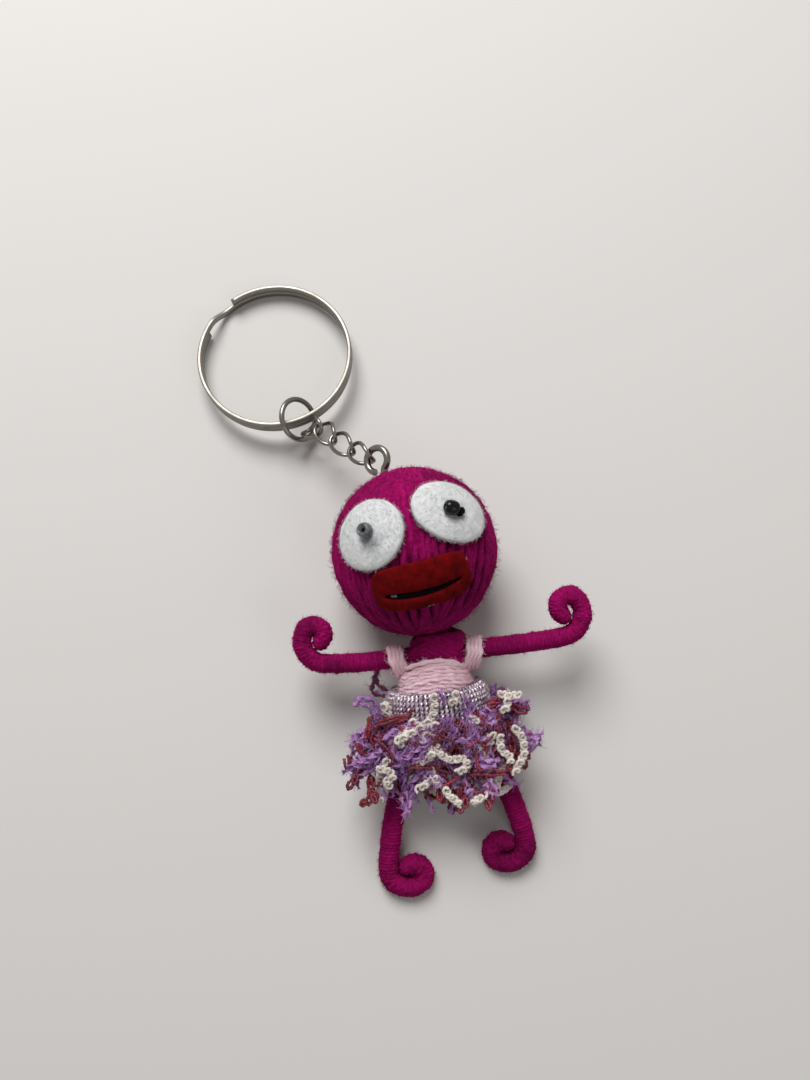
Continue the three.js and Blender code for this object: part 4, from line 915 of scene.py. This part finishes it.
def wound(core, radii, matrix):
    """One yarn wound along a core that lies flat in its frame. Turns close up in a bend, so that its outside stays
    covered, and draw in over the last stretch to a round tip."""
    path, phase = [], 0.0
    spun = Vector((1, 0.3, 0.7))
    step = (core[1] - core[0]).length
    last = len(core) - 2
    for k in range(1, last + 1):
        tangent = (core[k + 1] - core[k - 1]).normalized()
        bend = ((core[k + 1] - core[k]) - (core[k] - core[k - 1])).length / step ** 2
        lump = 0.12 * noise.noise(spun * (k / 9))
        radius = radii[0] + (radii[1] - radii[0]) * k / last - LIMB_YARN_RADIUS + lump
        left = (last - k) * step
        if left < radius:
            radius *= sqrt(max(0.02, 1 - (1 - left / radius) ** 2))
        phase += 2 * pi * step / LIMB_PITCH * (1 + min(1.0, bend * radius))
        across = Vector((-tangent.y, tangent.x, 0))
        spot = matrix @ (core[k] + across * radius * cos(phase) + UP * radius * sin(phase))
        spot.z = max(spot.z, LIMB_YARN_RADIUS * 0.8)
        path.append(spot)
    return path


def limb(name, core, radii, matrix, node_name, seed):
    yarn = wind(name, [wound(core, radii, matrix)], LIMB_YARN_RADIUS, magenta_wool, step=0.3, flatness=0.9,
                loose=[fibres(magenta_wool, 0.5, 5.5, rise=0.35, radius=0.016, seed=seed)])
    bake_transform(yarn)
    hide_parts(node_name)


for name, side, out, up, hand_curl in ARMS:
    hook = curl(out, up, hand_curl, 270, 1, side)
    elbow = Vector((side * (SHOULDER_HALF_WIDTH + out) / 2, (-SHOULDER_DROP + up - hand_curl[0]) / 2 - ARM_BOW, 0))
    shoulder = Vector((side * SHOULDER_HALF_WIDTH, -SHOULDER_DROP, 0))
    core = spline([Vector((side * 2.5, -SHOULDER_DROP, 0)), shoulder, elbow, *hook], 0.05)
    limb(f"arm_wound_yarn_{name}", core, ARM_RADII, body_matrix,
         f"arm_winding_{name}", 13)

for name, side, out, down in LEGS:
    hip = Vector((side * HIP_HALF_WIDTH, -HIP_DROP, 0))
    hook = [point - hip for point in curl(out, -down, FOOT_CURL, 0, -1, side)]
    ankle = out + FOOT_CURL[0]
    knee = Vector((side * (HIP_HALF_WIDTH + (ankle - HIP_HALF_WIDTH) * KNEE_SHARE + LEG_BOW),
                   -HIP_DROP + (HIP_DROP - down) * KNEE_SHARE, 0)) - hip
    hip_place = body_matrix @ hip
    lowest = Vector((side * out, -down - FOOT_CURL[1], 0)) - hip
    turn = radians(BODY_TURN_DEG)
    run = sin(turn) * lowest.x + cos(turn) * lowest.y
    slope = asin((CAD_LEG_RADIUS - FOOT_FLAT_DEPTH - hip_place.z) / run)
    matrix = Matrix.Translation(hip_place) @ Matrix.Rotation(slope, 4, "X") @ Matrix.Rotation(turn, 4, "Z")
    top = Vector((-side * 0.8, 3.2, 0))
    core = spline([top, Vector((0, 0, 0)), knee, *hook], 0.05)
    limb(f"leg_wound_yarn_{name}", core, LEG_RADII, matrix,
         f"leg_winding_{name}", 17)


# Bodice and straps: a thinner pale pink yarn, wound nine times round the chest over the magenta, and four
# times round each shoulder, in turns that run down into its corners.
BODICE_YARN_RADIUS = 0.43
BODICE_TOP = 2.65
BODICE_PITCH = 0.51
BODICE_TURNS = 9
BODICE_ARCH = 1.4
BODICE_WAVER = 0.45
BODICE_LUMP = 0.4
STRAP_YARN_RADIUS = 0.42
STRAP_PITCH = 0.56
STRAP_TURNS = 4
STRAP_OUTER = 7.3
STRAP_HALF_HEIGHT = 1.72
STRAP_HALF_DEPTH = 1.8
STRAP_FOOT_DROP = 0.75
STRAP_FOOT_LEAN = 0.7
pink_wool = wool("pale_pink_wool", "#fbe0e8", "#e6bac8", speck_mm=0.3)
bodice_path = []
for k in range(BODICE_TURNS * 40 + 1):
    angle = 2 * pi * k / 40 - pi / 2
    drop = BODICE_TOP + BODICE_PITCH * k / 40 + BODICE_ARCH * cos(angle) ** 2
    drop += BODICE_WAVER * noise.noise(Vector((k * 0.05, 0, 0)))
    out = 0.05 + BODICE_YARN_RADIUS + BODICE_LUMP * noise.noise(Vector((0, k * 0.07, 0)))
    bodice_path.append(round_body(drop, angle, out))
bodice = wind("bodice_wound_yarn", [bodice_path], BODICE_YARN_RADIUS, pink_wool, twist=4, step=0.3, flatness=0.7,
              loose=[fibres(pink_wool, 0.7, 9, rise=0.3, radius=0.016, seed=19)])
fit(bodice, "torso", "pink_yarn", "bodice_winding")
for name, side in (("left", -1), ("right", 1)):
    path = []
    for k in range(STRAP_TURNS * 28 + 1):
        angle = 2 * pi * k / 28 + pi
        low = max(0, -cos(angle))
        x = STRAP_OUTER - STRAP_YARN_RADIUS - STRAP_PITCH * k / 28 - STRAP_FOOT_LEAN * low
        high = (STRAP_HALF_HEIGHT + STRAP_FOOT_DROP * low) * cos(angle)
        path.append(body_matrix @ Vector((side * x, -SHOULDER_DROP - 0.15 + high,
                                          STRAP_HALF_DEPTH * sin(angle))))
    strap = wind(f"strap_wound_yarn_{name}", [path], STRAP_YARN_RADIUS, pink_wool, twist=3.5, step=0.25,
                 loose=[fibres(pink_wool, 0.7, 8, rise=0.4, seed=23)])
    fit(strap, "torso", "pink_yarn", f"strap_{name}")


# Skirt band: the knitted heading of the fringe, close columns of lilac and silver thread stitches, sewn
# round the hips. The silver thread glitters in points.
BAND_TOP = 7.2
BAND_HEIGHT = 4.0
BAND_FLARE = 0.35
BAND_HALF_WIDTH = TORSO_HALF_WIDTH + 1.6
BAND_HALF_DEPTH = TORSO_HALF_DEPTH + 1.34
BAND_THICKNESS = 0.9
BAND_RIM_LEAN = 0.75
STITCH_COLUMNS = 66
STITCH_RADIUS = 0.4
glitter, tree, shader = surface("lilac_and_silver_thread", {"Roughness": 0.4})
at = node(tree, "ShaderNodeTexCoord")
flakes = node(tree, "ShaderNodeTexVoronoi", {"Vector": at.outputs["Object"], "Scale": 1 / (0.34 * MM)})
pick = node(tree, "ShaderNodeSeparateColor", {0: flakes.outputs["Color"]})
silver = reckon(tree, "GREATER_THAN", pick, 0.5)
shade = mixed(tree, pick.outputs[1], linear("#56425a"), linear("#bda3b6"))
feed(tree, shader, {"Base Color": mixed(tree, silver, shade, linear("#d2c4cc")), "Metallic": silver,
                    "Normal": relief(tree, pick.outputs[2], 0.8, 0.12)})


def band_place(share, angle, out):
    """A place on the band, from its top at 0 to its foot at 1, at a height over its inside."""
    rim = BAND_RIM_LEAN * max(0, 1 - share / 0.3) ** 2
    wide = BAND_HALF_WIDTH + out + BAND_FLARE * share - rim
    deep = BAND_HALF_DEPTH + out + BAND_FLARE * share - rim
    return body_matrix @ Vector((bent(BAND_TOP) + wide * cos(angle), -BAND_TOP - BAND_HEIGHT * share,
                                 deep * sin(angle)))


column_paths = [[band_place(j / 10, angle, BAND_THICKNESS - STITCH_RADIUS + 0.05) for j in range(11)]
                for angle in around(STITCH_COLUMNS)]
band = wind("band_stitched_thread", column_paths, STITCH_RADIUS, glitter, twist=1.3, flatness=0.6, step=0.13,
            sides=7)
fit(band, "torso", "silver_band", "skirt_band")
sections = [(0.0, 0.0), (0.0, 0.4), (1.0, 0.4), (1.0, 0.0)]
rings = [[band_place(share, angle, out) for angle in around(60)] for share, out in sections]
backing = place("band_backing", loft("band_backing", rings, glitter, looped=True))
fit(backing, "torso", "silver_band")


# Fringe: loose ends of three yarns that hang from the band in two layers, tangled together. A lilac fluffy
# ribbon yarn, a thin shiny maroon cord that ends in small knots, and a thick cream boucle yarn.
SKIRT_CENTRE = Vector((-0.6, -9, 0))
SKIRT_RADIUS = 16.2
SKIRT_SIDE_CUT = 4.2
FAN_DEG = 84
FAN_CUT_FROM_DEG = 58
LEG_CLEARANCE = {1: 1.9, -1: 1.7}
LILAC_RADIUS = 0.46
MAROON_RADIUS = 0.28
CREAM_RADIUS = 0.26
YARN_LIFT = {"lilac": 0.4, "maroon": 0.25, "cream": 0.35}
CREAM_LEVEL = 6.0
LOOSE_END_LEVEL = 5.1
BOUCLE_PERIOD = 0.68
BOUCLE_LOOP = 0.42
CORD_LOOP_LENGTH = 1.3
CORD_LOOP_HALF_WIDTH = 0.36
lilac_yarn = wool("lilac_ribbon_yarn", "#c898d0", "#774a82", speck_mm=0.3, sheen=0.3)
maroon_cord = wool("maroon_rayon_cord", "#8f263b", "#3a0812", speck_mm=0.25, sheen=0.1, roughness=0.45, gloss=0.5)
cream_boucle = wool("cream_boucle_yarn", "#ece4dc", "#c4b7ae", speck_mm=0.3)
# Each layer has its name, its side of the body, its height over the body's middle, how many lilac, maroon and
# cream runs fill it, and its seed. The ends that lie on top follow the lists below, as places right of and
# under the neck.
LAYERS = [
    ("front", 1, 3.3, 84, 76, 8, 101),
    ("back", -1, -1.0, 34, 34, 13, 202),
]
LAID = {
    "cream": [
        [(-1, 7), (-1, 8.5), (-1.5, 10), (-2.5, 11), (-4.5, 12), (-7, 13)],
        [(-2, 11.5), (-1.5, 14), (-1, 15.5), (0.5, 16.5), (2, 16.5), (2.5, 17.5), (1, 18.5)],
        [(2, 7), (2, 8), (1, 8.5)], [(7.5, 14), (7.5, 16), (8.5, 17), (8.5, 18)],
        [(9.5, 13), (10.5, 14.5), (10.5, 17), (9.5, 18.5), (9, 19.5)], [(8, 8), (9.5, 8.5), (11, 8.5)],
        [(9, 9), (9, 10), (8, 10.5)], [(-10, 16.5), (-8.5, 17), (-8, 18), (-9, 18.5), (-8.5, 19.5)],
        [(-1, 20.5), (-0.5, 21.5), (0.5, 22.5), (1, 23)], [(2.5, 23), (3.5, 22.5), (4.5, 22)],
    ],
    "maroon": [
        [(-9.5, 10.5), (-7.5, 10), (-4, 10)], [(-9, 10.5), (-5, 10), (-4.5, 9)],
        [(-10, 9.5), (-10.5, 10.5), (-11, 12.5)], [(-14, 16), (-14.5, 14)],
        [(-6, 17.5), (-5, 17), (-1.5, 17.5)], [(-4, 15.5), (-1, 17), (0.5, 17.5)],
        [(0.5, 9.5), (1, 10.5), (1.5, 10)], [(1, 11), (0.5, 12.5), (1, 14), (0, 14.5)],
        [(9.5, 10), (11, 11), (12.5, 11.5)], [(7, 12), (8, 11.5), (8.5, 11)], [(3, 11), (4, 12), (3, 13)],
        [(4.5, 13.5), (5, 15), (6, 15.5), (5, 16.5)], [(3, 19), (5, 19), (7, 19.5), (8, 19.5)],
        [(8.5, 12.5), (9, 15), (9, 17), (7, 18)],
    ],
    "maroon_loops": [
        [(-1, 20.5), (-1, 22)], [(1.5, 20.5), (1.5, 23)], [(4.5, 21.5), (5, 23.5)], [(6.5, 10), (7.5, 9.5)],
        [(-11, 19), (-12, 21)], [(-11.5, 18), (-11, 20.5)], [(-13, 17), (-13.5, 18)],
    ],
    "lilac": [
        [(-9, 9.5), (-9.5, 8), (-10.5, 7), (-12, 7)], [(-0.5, 7), (0, 8.5), (-0.5, 10), (0, 12)],
        [(3, 9), (4, 10), (3.5, 11)], [(11, 15.5), (12, 15.5), (13.5, 14.5)],
        [(-9.5, 14.5), (-11.5, 15.5), (-13.5, 16), (-15, 16.5)], [(-5.5, 14), (-4, 14), (-2.5, 13.5)],
        [(-3.5, 18.5), (-2, 19.5), (-1.5, 20)], [(-7, 21), (-6.5, 23), (-7, 24)],
        [(4, 17.5), (5.5, 18), (7, 18)], [(5, 20.5), (5.5, 21.5), (6, 23)],
        [(5.5, 10.5), (6.5, 11), (5.5, 12.5)], [(2, 11.5), (3, 13), (3.5, 14.5)],
    ],
    "stray": [[(-7, 8), (-9, 6.5), (-9, 5), (-8.5, 4)], [(-8, 8.5), (-10, 7.5), (-9.5, 6), (-9, 4.5)]],
}


def fringe_run(chance, face, level, reach_share, wiggle, steps):
    """A wavering run from the band out towards the hem, as points in the body's frame."""
    fan = chance.uniform(-FAN_DEG, FAN_DEG)
    beside = max(0, (abs(fan) - FAN_CUT_FROM_DEG) / (FAN_DEG - FAN_CUT_FROM_DEG))
    reach = (SKIRT_RADIUS - SKIRT_SIDE_CUT * beside) * reach_share
    turn, start_angle = radians(fan), radians(90 - fan * 0.8)
    start = Vector(((BAND_HALF_WIDTH + 1.2) * cos(start_angle), -BAND_TOP - BAND_HEIGHT * chance.uniform(0.8, 1.1),
                    face * (BAND_HALF_DEPTH + 1.2) * sin(start_angle)))
    end = SKIRT_CENTRE + Vector((reach * sin(turn), -reach * cos(turn), 0))
    across, along = Vector((cos(turn), sin(turn), 0)), (end - start).normalized()
    waves = [(chance.uniform(0.5, 1.0) * wiggle, chance.uniform(1.2, 3.2), chance.uniform(0, 6.3))
             for _ in range(4)]
    lift = chance.uniform(-1.1, 1.3)
    run = []
    for k in range(steps + 1):
        t = k / steps
        open_up = min(1, t * 4)
        sway, bob = (sum(size * sin(2 * pi * count * t + phase) for size, count, phase in pair)
                     for pair in (waves[:2], waves[2:]))
        back_and_forth = waves[0][0] * cos(2 * pi * waves[1][1] * t + waves[3][2])
        spot = start.lerp(end, t) + across * sway * open_up + along * back_and_forth * open_up
        spot.z = start.z + (level + lift - start.z) * t * t * (3 - 2 * t) + 0.5 * bob * open_up
        run.append(spot)
    return run


def on_top(points, level):
    """A run over the fringe. It rises a little where it starts on the band."""
    return [Vector((x, -drop, level + 0.9 * max(0, 1 - (drop - 7) / 3.5) * max(0, 1 - abs(x) / 9)))
            for x, drop in points]


def end_loop(run, chance):
    """The cord's small end loop, in line with its last stretch."""
    last, way = run[-1], (run[-1] - run[-2]).normalized()
    side_way = Vector((-way.y, way.x, 0)) * chance.choice((-1, 1))
    return [last + way * (1 - cos(t)) * CORD_LOOP_LENGTH / 2 + side_way * CORD_LOOP_HALF_WIDTH * sin(t)
            + UP * 0.25 * sin(t * 0.5) for t in (2 * pi * j / 14 for j in range(1, 26))]


def knobbly(run):
    """Boucle: the yarn lies in small loops all along its run."""
    looped = []
    for j, spot in enumerate(spline(run, 0.08)):
        t = 2 * pi * j * 0.08 / BOUCLE_PERIOD
        looped.append(spot + Vector((BOUCLE_LOOP * cos(t), BOUCLE_LOOP * sin(t),
                                     0.22 * sin(t * 0.5 + 1.0))))
    return looped


def lay(run, face, lift):
    """Keeps a run clear of the legs, and of the floor behind."""
    laid = []
    for spot in run:
        clear = face * (LEG_CLEARANCE[face] + lift)
        placed = body_matrix @ Vector((spot.x, spot.y, max(spot.z, clear) if face > 0 else min(spot.z, clear)))
        placed.z = max(placed.z, lift)
        laid.append(placed)
    return laid


for layer, face, level, ribbons, cords, boucles, seed in LAYERS:
    chance = random.Random(seed)
    runs = {"lilac": [], "maroon": [], "cream": []}
    for _ in range(ribbons):
        runs["lilac"].append(fringe_run(chance, face, level, chance.uniform(0.6, 1.0), 1.0, 40))
    for _ in range(cords):
        run = fringe_run(chance, face, level, chance.uniform(0.5, 0.95), 1.2, 50)
        runs["maroon"].append(run + end_loop(run, chance) * (chance.random() < 0.5))
    for _ in range(boucles):
        run = fringe_run(chance, face, level + 0.3 * face, chance.uniform(0.5, 1.0), 1.1, 60)
        runs["cream"].append(knobbly(run))
    if layer == "back":
        for points in LAID["stray"]:
            runs["lilac"].append(spline(on_top(points, level), 0.5))
            runs["maroon"].append(spline(on_top(points, level - 0.6), 0.7))
    else:
        runs["cream"] += [knobbly(on_top(points, CREAM_LEVEL)) for points in LAID["cream"]]
        for points in LAID["maroon"] + LAID["maroon_loops"]:
            for beside in (-0.3, 0.3):
                run = [spot + Vector((beside * chance.uniform(0.5, 1.5), beside * chance.uniform(0.5, 1.5),
                                      chance.uniform(-0.3, 0.3)))
                       for spot in spline(on_top(points, LOOSE_END_LEVEL), 0.7)]
                runs["maroon"].append(run + end_loop(run, chance) * (points in LAID["maroon_loops"]))
        for points in LAID["lilac"]:
            for beside in (-0.35, 0.35):
                runs["lilac"].append([spot + Vector((beside, beside, chance.uniform(-0.3, 0.3)))
                                      for spot in spline(on_top(points, LOOSE_END_LEVEL), 0.5)])
    laid = {yarn: [lay(run, face, YARN_LIFT[yarn]) for run in found] for yarn, found in runs.items()}
    lilac = wind(f"fringe_lilac_{layer}", laid["lilac"], LILAC_RADIUS, lilac_yarn, twist=3, flatness=0.35, step=0.4,
                 sides=6, loose=[fibres(lilac_yarn, 0.8, 4.3, rise=0.6, radius=0.027, seed=seed)])
    maroon = wind(f"fringe_maroon_{layer}", laid["maroon"], MAROON_RADIUS, maroon_cord, twist=1.0, flatness=0.6,
                  step=0.17, sides=6)
    cream = wind(f"fringe_cream_{layer}", laid["cream"], CREAM_RADIUS, cream_boucle, twist=1.2, flatness=0.8,
                 step=0.2, sides=6, loose=[fibres(cream_boucle, 0.4, 2.5, seed=seed + 1)])
    for k, (slot_name, piece) in enumerate((("fringe", lilac), ("maroon", maroon), ("cream", cream))):
        stands_for = [f"fringe_tuft_{layer}_{n + 1}" for n in range(6) if (n + (face < 0)) % 3 == k]
        fit(piece, "torso", f"{slot_name}_yarn", *stands_for)
